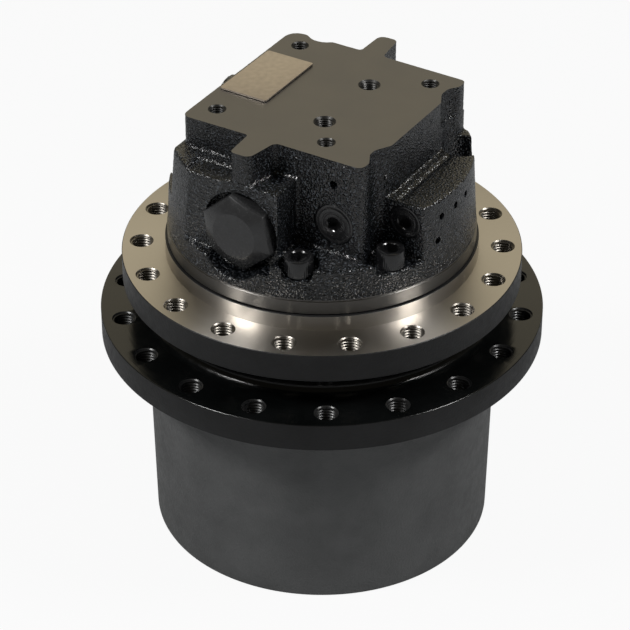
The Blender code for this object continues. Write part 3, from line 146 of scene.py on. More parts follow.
PAD_BACK = -0.0680
PAD_DEPTH = 0.0018
RIGHT_BLOCK_FRONT = -0.0320
SCREW_FLOOR = 0.2335
MACHINING = 0.0020
FACING = 0.0002
SHAFT_POCKET_R = 0.0270
SHAFT_POCKET_TOP = 0.2262
TOOL_REACH = 0.0200
OUTSIDE = 0.1300

# Cover screws
SCREW_CIRCLE_R = 0.0877
SCREW_ANGLES = [-68.2, -30.7, 33.0, 68.2, 119.0, 200.0]
SCREW_HEAD_R = 0.0090
SCREW_HEAD = 0.0117
SCREW_R = 0.0060
SCREW_SHANK = 0.0100
SCREW_POCKET_R = 0.0125
SPOTFACE_PLAY = 0.0012
SPOTFACE_TOP = 0.0060
SCREW_HEX_R = 0.0058
SCREW_SOCKET = 0.0060
SCREW_LEAD = (0.0007, 0.0010)
SCREW_KNURL = 0.00022
SCREW_TURN = 0.4

# Valves in the cover
SPOOL_X = -0.0075
SPOOL_Z = 0.2520
CAP_SEAT_R = 0.0258
CAP_FLATS_R = 0.0220
CAP_FACE_R = 0.0150
CAP_HEAD = 0.0080
CAP_CONE = 0.0043
CAP_SINK = 0.0060
CAP_TURN = math.radians(11.5)
CAP_SCOOP = 0.0012
CAP_SHANK_R = 0.0168
CAP_SHANK = 0.0135
CAP_BORE_R = 0.0174
CAP_BORE = 0.0160
CAP_MOUTH = 0.0040
CAP_CORNER = 0.0012
CAP_RIM = 0.0004
SPEED_X = 0.0447
SPEED_Z = 0.2605
PLUG_R = 0.0134
SIDE_PLUG_X = 0.0777
SIDE_PLUG_Z = 0.2575
SIDE_PLUG_R = 0.0108
PLUG_SOCKET_R = 0.0050
PLUG_SOCKET = 0.0055
PLUG_LEAD = (0.0006, 0.0008)
PLUG_LENGTH = 0.0110
PLUG_THREAD = 0.0080
PLUG_NOSE_R = 0.0077
PLUG_GROOVE = 0.0002
PLUG_TURN = math.radians(14)
PLUG_PLAY = 0.0004
PLUG_BORE = 0.0115
PLUG_SPOTFACE = 0.0020
PLUG_MOUTH = 0.0040
LEAD_INSET = 0.0006

# Ports and holes
PORT_R = 0.0110
PORT_DEPTH = 0.0250
PORT_Z = 0.2720
PORT_XS = (0.0410, -0.0485)
PORT_FACE = 0.0060
DRAIN_Y = 0.0300
DRAIN_Z = 0.2660
DRAIN_BOSS_R = 0.0160
DRAIN_BOSS_X = -0.0900
DRAIN_PORT_R = 0.0075
DRAIN_FACE = 0.0040
TOP_HOLE_R = 0.0050
TOP_HOLES = [(-0.0487, 0.0534), (-0.0493, -0.0435), (0.0474, 0.0524), (0.0293, -0.0438)]
GAUGE_PORT_R = 0.0058
GAUGE_PORTS = [(0.0154, -0.0227), (0.0154, 0.0315)]
TAPPED_HOLES = [(TOP_HOLES, TOP_HOLE_R, 0.0008, 0.0014), (GAUGE_PORTS, GAUGE_PORT_R, 0.0012, 0.0020)]
TAP_DEPTH = 0.0180
TAP_THREAD = 0.0165
TAP_START = 0.0002
TAP_RIDGE = 0.0007
TAP_PITCH = 0.0015
PIN_HOLE_R = 0.0023
PIN_HOLES = [(-9.4, 0.2587), (-0.2, 0.2591), (8.5, 0.2593), (-11.8, 0.2434)]
WALL_HOLE = (0.0445, 0.2884)
WALL_HOLE_R = 0.0027
HOLE_DEPTH = 0.0080
HOLE_MOUTH = 0.0030

# Studio: a floor that looks white, a warm sweep that metal reflects, and two softboxes
WHITE = (1.0, 1.0, 1.0, 1.0)
ROOM_COLOUR = (0.92, 0.96, 1.0, 1.0)
ROOM_LEVEL = 0.30
FLOOR_SIZE = 12.0
FLOOR_SEEN = 0.93
FLOOR_MIRRORED = 0.0
FLOOR_COLOUR = (0.38, 0.38, 0.38, 1.0)
SWEEP_DIRECTION = (-0.49, 0.815, 0.31)
SWEEP_START = 0.55
SWEEP_END = 0.90
SWEEP_DARK = 0.05
SWEEP_LIGHT = 0.70
SWEEP_COLOUR = (1.0, 0.90, 0.67, 1.0)
SOFTBOXES = [
    ("left_box", (-0.84, -1.24, 1.75), 0.55, 0.40, 32),
    ("right_box", (1.46, 0.35, 1.75), 0.50, 0.40, 28),
]
SOFTBOX_COLOUR = (1.0, 1.0, 0.99)
SOFTBOX_TARGET = (0.0, 0.0, 0.2)

# Nameplate, left bare
NAMEPLATE_CENTRE = (-0.04455, 0.0069)
NAMEPLATE_SIZE = (0.0337, 0.0568)
NAMEPLATE_BOTTOM = 0.3053
NAMEPLATE_THICKNESS = 0.0012
NAMEPLATE_CORNER = 0.0012
NAMEPLATE_RIM = 0.0002

# Camera
CAMERA_PLACE = (0.7791, -1.2966, 1.14985)
CAMERA_TILT = 90 - 33.598
CAMERA_TURN = 31.170
LENS = 159.44
SENSOR = 36.0
CLIP_START = 0.05


def polar(radius, degrees):
    angle = math.radians(degrees)
    return (radius * math.cos(angle), radius * math.sin(angle))


# Mesh helpers


def linked(name, shape):
    """The bmesh as an object of the scene."""
    mesh = bpy.data.meshes.new(name)
    shape.to_mesh(mesh)
    shape.free()
    obj = bpy.data.objects.new(name, mesh)
    bpy.context.scene.collection.objects.link(obj)
    return obj


def as_object(name, shape):
    """The bmesh as an object whose faces all look outwards."""
    bmesh.ops.recalc_face_normals(shape, faces=shape.faces)
    return linked(name, shape)


def arcs(corners, steps, closed=True):
    """An outline through (x, y, radius) corners, each one rounded by an arc."""
    points = []
    last = len(corners) - 1
    for i, (x, y, radius) in enumerate(corners):
        if radius == 0 or (not closed and i in (0, last)):
            points.append((x, y))
            continue
        here = Vector((x, y))
        before = (Vector(corners[i - 1][:2]) - here).normalized()
        after = (Vector(corners[(i + 1) % len(corners)][:2]) - here).normalized()
        half = before.angle(after) / 2
        reach = radius / math.tan(half)
        centre = here + (before + after).normalized() * radius / math.sin(half)
        first = here + before * reach - centre
        sweep = first.angle_signed(here + after * reach - centre)
        for step in range(steps + 1):
            spoke = first.copy()
            spoke.rotate(Matrix.Rotation(-sweep * step / steps, 2))
            points.append(tuple(centre + spoke))
    return points


def turned(name, profile, steps=LATHE_STEPS, ring=False):
    """A solid of revolution about Z from (radius, height) points.

    It is closed by its axis or, as a ring, by a wall from its last point to its first.
    """
    shape = bmesh.new()
    rings = []
    for radius, height in profile:
        angles = [0.0] if radius == 0 else [360 * i / steps for i in range(steps)]
        rings.append([shape.verts.new((*polar(radius, a), height)) for a in angles])
    pairs = list(zip(rings, rings[1:]))
    if ring:
        pairs.append((rings[-1], rings[0]))
    for low, high in pairs:
        for i in range(steps):
            corners = [low[i % len(low)], low[(i + 1) % len(low)]]
            corners += [high[(i + 1) % len(high)], high[i % len(high)]]
            shape.faces.new(dict.fromkeys(corners))
    return as_object(name, shape)


def prism(name, outline, bottom, top):
    """A flat outline of (x, y) points, extruded along Z."""
    shape = bmesh.new()
    low = [shape.verts.new((x, y, bottom)) for x, y in outline]
    high = [shape.verts.new((x, y, top)) for x, y in outline]
    shape.faces.new(low)
    shape.faces.new(high)
    for i in range(len(outline)):
        j = (i + 1) % len(outline)
        shape.faces.new((low[i], low[j], high[j], high[i]))
    return as_object(name, shape)


def rod(name, radius, start, end, steps=HOLE_STEPS, end_radius=None):
    """A cylinder or cone between two points."""
    start = Vector(start)
    end = Vector(end)
    along = end - start
    shape = bmesh.new()
    bmesh.ops.create_cone(
        shape,
        cap_ends=True,
        segments=steps,
        radius1=radius,
        radius2=radius if end_radius is None else end_radius,
        depth=along.length,
    )
    lay = Matrix.Translation((start + end) / 2) @ along.to_track_quat("Z", "Y").to_matrix().to_4x4()
    bmesh.ops.transform(shape, matrix=lay, verts=shape.verts)
    return as_object(name, shape)


def upright(radius, x, y, bottom, top, steps=HOLE_STEPS, end_radius=None):
    """A tool along Z."""
    return rod("tool", radius, (x, y, bottom), (x, y, top), steps, end_radius)


def crosswise(radius, x, z, start, end, steps=FINE_STEPS):
    """A tool along Y."""
    return rod("tool", radius, (x, start, z), (x, end, z), steps)


def block(name, low, high):
    """A box between two corners."""
    shape = bmesh.new()
    bmesh.ops.create_cube(shape, size=1.0)
    bmesh.ops.scale(shape, vec=[b - a for a, b in zip(low, high)], verts=shape.verts)
    bmesh.ops.translate(shape, vec=[(a + b) / 2 for a, b in zip(low, high)], verts=shape.verts)
    return as_object(name, shape)


def evaluated(obj):
    """Applies the modifiers of the object."""
    bpy.context.view_layer.update()
    graph = bpy.context.evaluated_depsgraph_get()
    mesh = bpy.data.meshes.new_from_object(obj.evaluated_get(graph))
    obj.modifiers.clear()
    obj.data = mesh
    return obj


def carve(target, tools, operation="DIFFERENCE"):
    """Cuts the tools from the target, joins them to it or keeps what they share, and removes them."""
    for tool in tools:
        modifier = target.modifiers.new("carve", "BOOLEAN")
        modifier.operation = operation
        modifier.solver = "MANIFOLD"
        modifier.object = tool
    evaluated(target)
    for tool in tools:
        bpy.data.objects.remove(tool, do_unlink=True)


def bevelled(obj, width, degrees):
    """Rounds the edges that are sharper than the angle."""
    bevel = obj.modifiers.new("rim", "BEVEL")
    bevel.width = width
    bevel.segments = 2
    bevel.limit_method = "ANGLE"
    bevel.angle_limit = math.radians(degrees)
    return evaluated(obj)


def together(name, objects):
    """Several objects as one."""
    shape = bmesh.new()
    for obj in objects:
        shape.from_mesh(obj.data)
        bpy.data.objects.remove(obj, do_unlink=True)
    return linked(name, shape)


def laid(obj, x, y, z, direction):
    """Lays a piece turned about Z along Y, its top towards the front (-1) or the rear (1)."""
    lay = Matrix.Translation((x, y, z)) @ Matrix.Rotation(math.radians(-90 * direction), 4, "X")
    obj.data.transform(lay)


def smooth(obj, degrees=32):
    obj.data.shade_smooth()
    obj.data.set_sharp_from_angle(angle=math.radians(degrees))
    return obj


def thread(x, y, bottom, top, radius, depth, pitch):
    """A tapped hole's wall: a thin sleeve whose inner side is a helical ridge."""
    shape = bmesh.new()
    steps = THREAD_STEPS
    count = round((top - bottom) / pitch * THREAD_ROWS)
    rings = []
    for row in range(count + 1):
        z = bottom + (top - bottom) * row / count
        ring = []
        for i in range(steps):
            turn = (z - bottom) / pitch - i / steps
            crest = abs(2 * (turn - math.floor(turn)) - 1)
            reach = radius - depth * min(1.0, max(0.0, 1.35 * crest - 0.2))
            px, py = polar(reach, 360 * i / steps)
            ring.append(shape.verts.new((x + px, y + py, z)))
        rings.append(ring)
    for z in (top, bottom):
        outer = [polar(radius + THREAD_WALL, 360 * i / steps) for i in range(steps)]
        rings.append([shape.verts.new((x + px, y + py, z)) for px, py in outer])
    rings.append(rings[0])
    for low, high in zip(rings, rings[1:]):
        for i in range(steps):
            j = (i + 1) % steps
            shape.faces.new((low[i], low[j], high[j], high[i]))
    return as_object("tap", shape)


# Materials


class Look:
    """A Principled material with helpers for its procedural detail."""

    def __init__(self, name, colour, roughness, metallic, **settings):
        self.made = bpy.data.materials.new(name)
        self.made.use_nodes = True
        self.nodes = self.made.node_tree.nodes
        self.links = self.made.node_tree.links
        self.shader = self.nodes["Principled BSDF"]
        self.shader.inputs["Base Color"].default_value = (*colour, 1.0)
        self.shader.inputs["Roughness"].default_value = roughness
        self.shader.inputs["Metallic"].default_value = metallic
        for key, value in settings.items():
            self.shader.inputs[key.replace("_", " ")].default_value = value
        self.place = self.nodes.new("ShaderNodeTexCoord").outputs["Object"]
        self.normal = None

    def node(self, kind, inputs=None, **settings):
        node = self.nodes.new(kind)
        for key, value in settings.items():
            setattr(node, key, value)
        for key, value in (inputs or {}).items():
            if isinstance(value, bpy.types.NodeSocket):
                self.links.new(value, node.inputs[key])
            else:
                node.inputs[key].default_value = value
        return node

    def scaled(self, vector, factors):
        return self.node("ShaderNodeVectorMath", {0: vector, 1: factors}, operation="MULTIPLY").outputs[0]

    def noise(self, scale, detail=2.0, rough=0.5, vector=None, stretch=None):
        vector = vector or self.place
        if stretch:
            vector = self.scaled(vector, stretch)
        inputs = {"Vector": vector, "Scale": scale, "Detail": detail, "Roughness": rough}
        return self.node("ShaderNodeTexNoise", inputs).outputs["Fac"]

    def lathe(self):
        """Radius and height as a vector, so that noise in it runs round the axis."""
        flat = self.scaled(self.place, (1, 1, 0))
        radius = self.node("ShaderNodeVectorMath", {0: flat}, operation="LENGTH").outputs["Value"]
        height = self.node("ShaderNodeSeparateXYZ", {0: self.place}).outputs["Z"]
        return self.node("ShaderNodeCombineXYZ", {"X": radius, "Y": height}).outputs[0]

    def spread(self, value, low, high, start, end):
        """Maps start to end of the value onto low to high."""
        inputs = {"Value": value, "From Min": start, "From Max": end, "To Min": low, "To Max": high}
        return self.node("ShaderNodeMapRange", inputs).outputs[0]

    def tint(self, value, dark, light):
        """Base colour between two colours by a value from 0 to 1."""
        mix = self.node("ShaderNodeMix", {"Factor": value}, data_type="RGBA")
        mix.inputs[6].default_value = (*dark, 1.0)
        mix.inputs[7].default_value = (*light, 1.0)
        self.links.new(mix.outputs[2], self.shader.inputs["Base Color"])

    def gloss(self, value, low, high):
        """Roughness from low to high over the middle of the noise's values."""
        self.links.new(self.spread(value, low, high, 0.3, 0.7), self.shader.inputs["Roughness"])

    def bump(self, height, distance, strength):
        node = self.node("ShaderNodeBump", {"Height": height, "Distance": distance, "Strength": strength})
        if self.normal:
            self.links.new(self.normal, node.inputs["Normal"])
        self.normal = node.outputs[0]
        self.links.new(self.normal, self.shader.inputs["Normal"])


def cast_paint():
    """Glossy black paint over a coarse sand-cast skin, with painted glints: the grain's crests are tinted
    lighter.
    """
    look = Look("cast_paint", (0.006, 0.0065, 0.0075), 0.20, 0.0, Specular_IOR_Level=0.75)
    grains = look.noise(850, 0.5, 0.5)
    look.bump(grains, 0.0009, 1.0)
    look.gloss(look.noise(300), 0.14, 0.24)
    # Painted glints: the crests of the grain are tinted lighter than the black paint.
    painted_glints = look.spread(grains, 0.0, 1.0, 0.55, 0.72)
    look.tint(painted_glints, (0.0008, 0.001, 0.0014), (0.044, 0.049, 0.056))
    return look.made


def milled_face():
    """The cover's milled top: brown-grey iron with fine feed marks."""
    look = Look("milled_face", (0.168, 0.163, 0.159), 0.40, 1.0)
    marks = look.noise(1.0, 1.0, stretch=(2600, 90, 1))
    look.bump(marks, 0.00003, 0.4)
    look.gloss(look.noise(30, 3.0), 0.38, 0.46)
    look.tint(look.noise(12, 3.0), (0.158, 0.153, 0.149), (0.175, 0.169, 0.165))
    return look.made


def turned_steel(name, dark, light):
    """A turned face with rings round the axis, whose highlights spread across the rings."""
    look = Look(name, light, 0.31, 1.0, Anisotropic=0.90, Anisotropic_Rotation=0.25)
    rings = look.noise(1.0, 2.0, vector=look.lathe(), stretch=(2400, 2400, 1))
    look.bump(rings, 0.00001, 0.6)
    look.gloss(rings, 0.31, 0.35)
    look.tint(look.noise(14, 2.0), dark, light)
    tangent = look.node("ShaderNodeTangent", direction_type="RADIAL", axis="Z")
    look.links.new(tangent.outputs[0], look.shader.inputs["Tangent"])
    return look.made


def hub_paint(name, dark, light, low, high, grain=0.00025, **settings):
    """Satin paint over turned iron, with faint rings and specks."""
    look = Look(name, light, low, 0.0, **settings)
    rings = look.noise(1.0, 2.0, vector=look.lathe(), stretch=(900, 900, 1))
    look.bump(rings, 0.00010, 0.5)
    look.bump(look.noise(700, 3.0), grain, 0.6)
    blotch = look.noise(28, 5.0, 0.6)
    look.tint(look.spread(blotch, 0.0, 1.0, 0.35, 0.65), dark, light)
    look.gloss(look.noise(220), low, high)
    return look.made


def plain_look(name, colour, roughness, metallic, scale=140.0, depth=0.00006, **settings):
    """A part's finish with slight unevenness in colour, gloss and surface."""
    look = Look(name, colour, roughness, metallic, **settings)
    patches = look.noise(scale, 3.0)
    look.tint(patches, [0.78 * c for c in colour], [min(1.0, 1.2 * c) for c in colour])
    look.gloss(look.noise(2 * scale), max(0.05, roughness - 0.06), roughness + 0.06)
    look.bump(look.noise(6 * scale, 2.0), depth, 0.6)
    return look.made


def set_look(obj, *looks):
    obj.data.materials.clear()
    for look in looks:
        obj.data.materials.append(look)


def paint_by(obj, rule):
    """Gives each face the material index that the rule says for its centre and normal."""
    mesh = obj.data
    count = len(mesh.polygons)
    centre = np.empty(3 * count, np.float32)
    normal = np.empty(3 * count, np.float32)
    mesh.polygons.foreach_get("center", centre)
    mesh.polygons.foreach_get("normal", normal)
    index = rule(centre.reshape(-1, 3), normal.reshape(-1, 3)).astype(np.int32)
    mesh.polygons.foreach_set("material_index", index)
    mesh.update()


# The cast cover


def plate_corners():
    """The machined top's outline, with a rib at the front and the back and dents beside two screws."""
    left, right, front, back = PLATE_LEFT, PLATE_RIGHT, PLATE_FRONT, PLATE_BACK
    return [
        (left, back, 0.009),
        (left, front - 0.0006, 0.005),
        (-0.0160, front, 0.0015),
        (-0.0145, FRONT_BOSS_Y + GAP, 0.003),
        (-0.0010, FRONT_BOSS_Y + GAP, 0.005),
        (0.0032, front, 0.004),
        (right - 0.001, front, 0.005),
        (right - 0.001, -0.0520, 0.003),
        (0.0592, -0.0430, 0.004),
        (0.0592, -0.0370, 0.004),
        (right, -0.0270, 0.004),
        (right, 0.0345, 0.006),
        (0.0600, 0.0440, 0.006),
        (0.0600, 0.0520, 0.005),
        (right, 0.0585, 0.002),
        (right, back - 0.001, 0.0035),
        (0.0042, back, 0.003),
        (0.0015, REAR_BOSS_Y - GAP, 0.0035),
        (-0.0115, REAR_BOSS_Y - GAP, 0.005),
        (-0.0120, back, 0.002),
    ]


def cast_waste():
    """What the cast drum lacks above its ledges."""
    top = PLATE_TOP + TOOL_REACH / 2
    out = OUTSIDE
    section = [
        (LEFT_WALL, top),
        (LEFT_WALL, DRUM_TOP),
        (LEFT_WALL_FOOT, LEFT_LEDGE),
        (-out, LEFT_LEDGE),
        (-out, top),
    ]
    left = prism("waste_left", section, -PLATE_BACK, out)
    left.data.transform(Matrix.Rotation(math.radians(90), 4, "X"))
    boxes = [
        ((BOSS_RIGHT, -out, LEDGE), (out, PLATE_FRONT + EDGE, top)),
        ((PLATE_RIGHT - 0.012, PLATE_FRONT - GAP, SCREW_FLOOR), (out, RIGHT_BLOCK_FRONT, top)),
        ((-out, -out, SCREW_FLOOR), (BOSS_RIGHT + GAP, FRONT_BOSS_Y, top)),
        ((PLATE_RIGHT - EDGE, RIGHT_BLOCK_FRONT - EDGE, RIGHT_TOP), (out, out, top)),
        ((BOSS_RIGHT, PLATE_BACK - EDGE, LEDGE), (out, out, top)),
        ((-out, PLATE_BACK - EDGE, LEDGE), (REAR_BOSS_LEFT, out, top)),
        ((REAR_BOSS_LEFT - EDGE, REAR_BOSS_Y, LEDGE), (BOSS_RIGHT + EDGE, out, top)),
        ((*GROOVE_LOW, RIGHT_TOP - GROOVE_DEPTH), (*GROOVE_HIGH, top)),
        ((PAD_LEFT, -out, DRUM_TOP - PAD_DEPTH), (PAD_RIGHT, PAD_BACK, top)),
    ]
    return [left] + [block("waste", low, high) for low, high in boxes]


def screw_places():
    return [polar(SCREW_CIRCLE_R, angle) for angle in SCREW_ANGLES]


def raw_casting():
    """The casting before machining: its forms, rounded and grained by the mould."""
    bottom = PILOT_TOP + GAP
    profile = [
        (0.0, bottom, 0),
        (DRUM_R - EDGE, bottom, 0),
        (DRUM_R, BAND_TOP, 0),
        (DRUM_TOP_R, DRUM_TOP, DRUM_ROUND),
        (0.0, DRUM_TOP, 0),
    ]
    cast = turned("motor_cover_cast", arcs(profile, 5, closed=False))
    carve(cast, cast_waste())
    top = prism("cover_top", arcs(plate_corners(), 6), PLATE_FOOT, PLATE_TOP + MACHINING)
    start = (LEFT_WALL + EDGE, DRAIN_Y, DRAIN_Z)
    boss = rod("drain_boss", DRAIN_BOSS_R, start, (DRAIN_BOSS_X, DRAIN_Y, DRAIN_Z), FINE_STEPS)
    carve(cast, [top, boss], "UNION")
    hollows = []
    for x, y in screw_places():
        hollows.append(upright(SCREW_POCKET_R, x, y, SCREW_FLOOR, PLATE_TOP + TOOL_REACH, FINE_STEPS))
    for start, end in ((-OUTSIDE, FRONT_BOSS_Y), (REAR_BOSS_Y, OUTSIDE)):
        hollows.append(crosswise(CAP_SEAT_R + CAP_SCOOP, SPOOL_X, SPOOL_Z, start, end))
    carve(cast, hollows)
    remesh = cast.modifiers.new("mould", "REMESH")
    remesh.mode = "VOXEL"
    remesh.voxel_size = VOXEL
    soften = cast.modifiers.new("soften", "SMOOTH")
    soften.factor = 0.5
    soften.iterations = CAST_SMOOTHING
    grain = bpy.data.textures.new("sand", "CLOUDS")
    grain.noise_scale = GRAIN_SIZE
    grain.noise_depth = 1
    rough = cast.modifiers.new("grain", "DISPLACE")
    rough.texture = grain
    rough.texture_coords = "LOCAL"
    rough.strength = GRAIN
    rough.mid_level = 0.5
    return evaluated(cast)


def machining_tools():
    """Everything that is milled or drilled into the casting."""
    top = PLATE_TOP
    over = top + EDGE
    base = PILOT_TOP + GAP
    tools = [
        block("mill_top", (-OUTSIDE, -OUTSIDE, top), (OUTSIDE, OUTSIDE, top + TOOL_REACH)),
        block("mill_base", (-OUTSIDE, -OUTSIDE, base - TOOL_REACH), (OUTSIDE, OUTSIDE, base)),
    ]
    for places, radius, sink, wide in TAPPED_HOLES:
        for x, y in places:
            tools.append(upright(radius, x, y, top - TAP_DEPTH, over))
            tools.append(upright(radius, x, y, top - sink, over, end_radius=radius + wide))
    for x, y in screw_places():
        floor = SCREW_FLOOR
        tools.append(upright(SCREW_HEAD_R + SPOTFACE_PLAY, x, y, floor, floor + SPOTFACE_TOP, FINE_STEPS))
        tools.append(upright(SCREW_R + GAP, x, y, base - EDGE, floor + EDGE))
    for wall, out in ((FRONT_BOSS_Y, -1), (REAR_BOSS_Y, 1)):
        mouth = wall + out * CAP_MOUTH
        tools.append(crosswise(CAP_SEAT_R + GAP, SPOOL_X, SPOOL_Z, wall - out * CAP_SINK, mouth))
        tools.append(crosswise(CAP_BORE_R, SPOOL_X, SPOOL_Z, wall - out * CAP_BORE, mouth))
    for x, z, wall, radius in (
        (SPEED_X, SPEED_Z, PLATE_FRONT, PLUG_R),
        (SIDE_PLUG_X, SIDE_PLUG_Z, RIGHT_BLOCK_FRONT, SIDE_PLUG_R),
    ):
        mouth = wall - PLUG_MOUTH
        tools.append(crosswise(radius + PLUG_PLAY, x, z, wall + PLUG_BORE, mouth))
        tools.append(crosswise(radius + PLUG_SPOTFACE, x, z, wall - FACING, mouth))
    for x in PORT_XS:
        tools.append(crosswise(PORT_R, x, PORT_Z, PLATE_BACK - PORT_DEPTH, OUTSIDE))
        tools.append(crosswise(PORT_R + PORT_FACE, x, PORT_Z, PLATE_BACK + FACING, OUTSIDE))
    out = (-OUTSIDE, DRAIN_Y, DRAIN_Z)
    boss = (DRAIN_BOSS_X + MACHINING / 2, DRAIN_Y, DRAIN_Z)
    tools.append(rod("drain_face", DRAIN_BOSS_R + DRAIN_FACE, boss, out, FINE_STEPS))
    tools.append(rod("drain", DRAIN_PORT_R, (LEFT_WALL, DRAIN_Y, DRAIN_Z), out, FINE_STEPS))
    for degrees, z in PIN_HOLES:
        inner = polar(DRUM_TOP_R - HOLE_DEPTH, degrees)
        outer = polar(DRUM_R + MACHINING, degrees)
        tools.append(rod("pin_hole", PIN_HOLE_R, (*inner, z), (*outer, z)))
    x, z = WALL_HOLE
    deep, out = PLATE_FRONT + HOLE_DEPTH, PLATE_FRONT - HOLE_MOUTH
    tools.append(crosswise(WALL_HOLE_R, x, z, deep, out, HOLE_STEPS))
    tools.append(upright(SHAFT_POCKET_R, 0, 0, base - EDGE, SHAFT_POCKET_TOP, FINE_STEPS))
    return tools


def make_cover(paint, milled, dark, smooth_band):
    """The casting with its turned band, milled top and holes."""
    cast = raw_casting()
    bottom = PILOT_TOP + GAP
    profile = [
        (BAND_BORE_R, bottom),
        (BAND_R - EDGE, bottom),
        (BAND_R, bottom + EDGE),
        (BAND_R, BAND_TOP - EDGE),
        (BAND_R - BAND_CHAMFER, BAND_TOP),
        (BAND_BORE_R, BAND_TOP),
    ]
    carve(cast, [turned("band", profile, ring=True)], "UNION")
    carve(cast, machining_tools())
    cast.name = "motor_cover_body"
    set_look(cast, paint, milled, dark, smooth_band)

    def rule(centre, normal):
        x, y, z = centre.T
        top = (z > PLATE_TOP - FLUSH) & (normal[:, 2] > 0.99)
        # The walls and mouths of the tapped holes get the near-black iron: painted shade in the holes.
        inside = np.zeros(len(centre), bool)
        for places, radius, _, wide in TAPPED_HOLES:
            for hole_x, hole_y in places:
                near = np.hypot(x - hole_x, y - hole_y) < radius + wide + TOLERANCE
                inside |= near & (z > PLATE_TOP - TAP_DEPTH - MACHINING) & ~top
        outer = np.hypot(x, y) > BAND_R - BAND_CHAMFER - TOLERANCE
        edge = outer & (z < BAND_TOP + TOLERANCE)
        return np.where(top, 1, np.where(inside, 2, np.where(edge, 3, 0)))

    paint_by(cast, rule)
    smooth(cast, 38)
    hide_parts("motor_cover")
    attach(cast, "frame_side")


def make_cover_threads(look):
    """The threads of the holes in the milled top."""
    sleeves = []
    for places, radius, sink, _ in TAPPED_HOLES:
        low, high = PLATE_TOP - TAP_THREAD, PLATE_TOP - sink - TAP_START
        for x, y in places:
            sleeves.append(thread(x, y, low, high, radius, TAP_RIDGE, TAP_PITCH))
    # The threads take the near-black iron too: painted shade in the holes.
    sleeves = smooth(together("cover_threads", sleeves), 25)
    set_look(sleeves, look)
    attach(sleeves, "frame_side")


# Flanges


def flange_hole_places(circle_r, start):
    return [polar(circle_r, start + 360 * i / FLANGE_HOLES) for i in range(FLANGE_HOLES)]


def flange_drills(circle_r, start, bottom, top):
    """The bores of a ring of holes, and the cones at both of their mouths."""
    tools = []
    wide = THREAD_R + MOUTH + EDGE
    for x, y in flange_hole_places(circle_r, start):
        tools.append(upright(THREAD_R, x, y, bottom - EDGE, top + EDGE))
        tools.append(upright(THREAD_R, x, y, top - MOUTH, top + EDGE, end_radius=wide))
        tools.append(upright(THREAD_R, x, y, bottom + MOUTH, bottom - EDGE, end_radius=wide))
    return tools


def flange_threads(name, circle_r, start, bottom, top):
    low, high = bottom + MOUTH + GAP, top - MOUTH - GAP
    sleeves = []
    for x, y in flange_hole_places(circle_r, start):
        sleeves.append(thread(x, y, low, high, THREAD_R, THREAD_DEPTH, THREAD_PITCH))
    return smooth(together(name, sleeves), 25)


def make_spindle(turned_look, side_look, thread_look):
    """The frame flange with its pilot and its tapped holes."""
    profile = [
        (MOTOR_BORE_R, LIP_BOTTOM),
        (MOTOR_BORE_R, PILOT_TOP),
        (PILOT_R - 0.4 * EDGE, PILOT_TOP),
        (PILOT_R, PILOT_TOP - 0.4 * EDGE),
        (PILOT_R, FRAME_FLANGE_TOP + EDGE),
        (PILOT_R + 0.4 * EDGE, FRAME_FLANGE_TOP),
        (FRAME_FLANGE_R - 0.6 * EDGE, FRAME_FLANGE_TOP),
        (FRAME_FLANGE_R, FRAME_FLANGE_TOP - 0.6 * EDGE),
        (FRAME_FLANGE_R, FRAME_FLANGE_BOTTOM + EDGE),
        (FRAME_FLANGE_R - EDGE, FRAME_FLANGE_BOTTOM),
        (LIP_R, FRAME_FLANGE_BOTTOM),
        (LIP_R, LIP_BOTTOM),
    ]
    flange = turned("frame_flange", profile, ring=True)
    drilled = (FRAME_HOLE_CIRCLE_R, FRAME_HOLE_START, FRAME_FLANGE_BOTTOM, FRAME_FLANGE_TOP)
    carve(flange, flange_drills(*drilled))
    set_look(flange, turned_look, side_look, thread_look)

    def rule(centre, normal):
        radius = np.hypot(centre[:, 0], centre[:, 1])
        rim = (radius > FRAME_FLANGE_R - EDGE / 2) | (centre[:, 2] < FRAME_FLANGE_BOTTOM + 1.1 * EDGE)
        # The pilot's top ring and chamfer, in the joint under the cover's band, get the dark side paint:
        # painted shade that hides their highlight.
        rim |= centre[:, 2] > PILOT_TOP - EDGE / 2
        wall = np.abs(normal[:, 2]) < 0.9
        holes = (radius < FRAME_FLANGE_R - 2 * EDGE) & (radius > PILOT_R + 2 * EDGE) & wall
        return np.where(holes, 2, np.where(rim, 1, 0))

    paint_by(flange, rule)
    smooth(flange)
    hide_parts("spindle")
    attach(flange, "frame_side")
    taps = flange_threads("frame_flange_threads", *drilled)
    set_look(taps, thread_look)
    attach(taps, "frame_side")


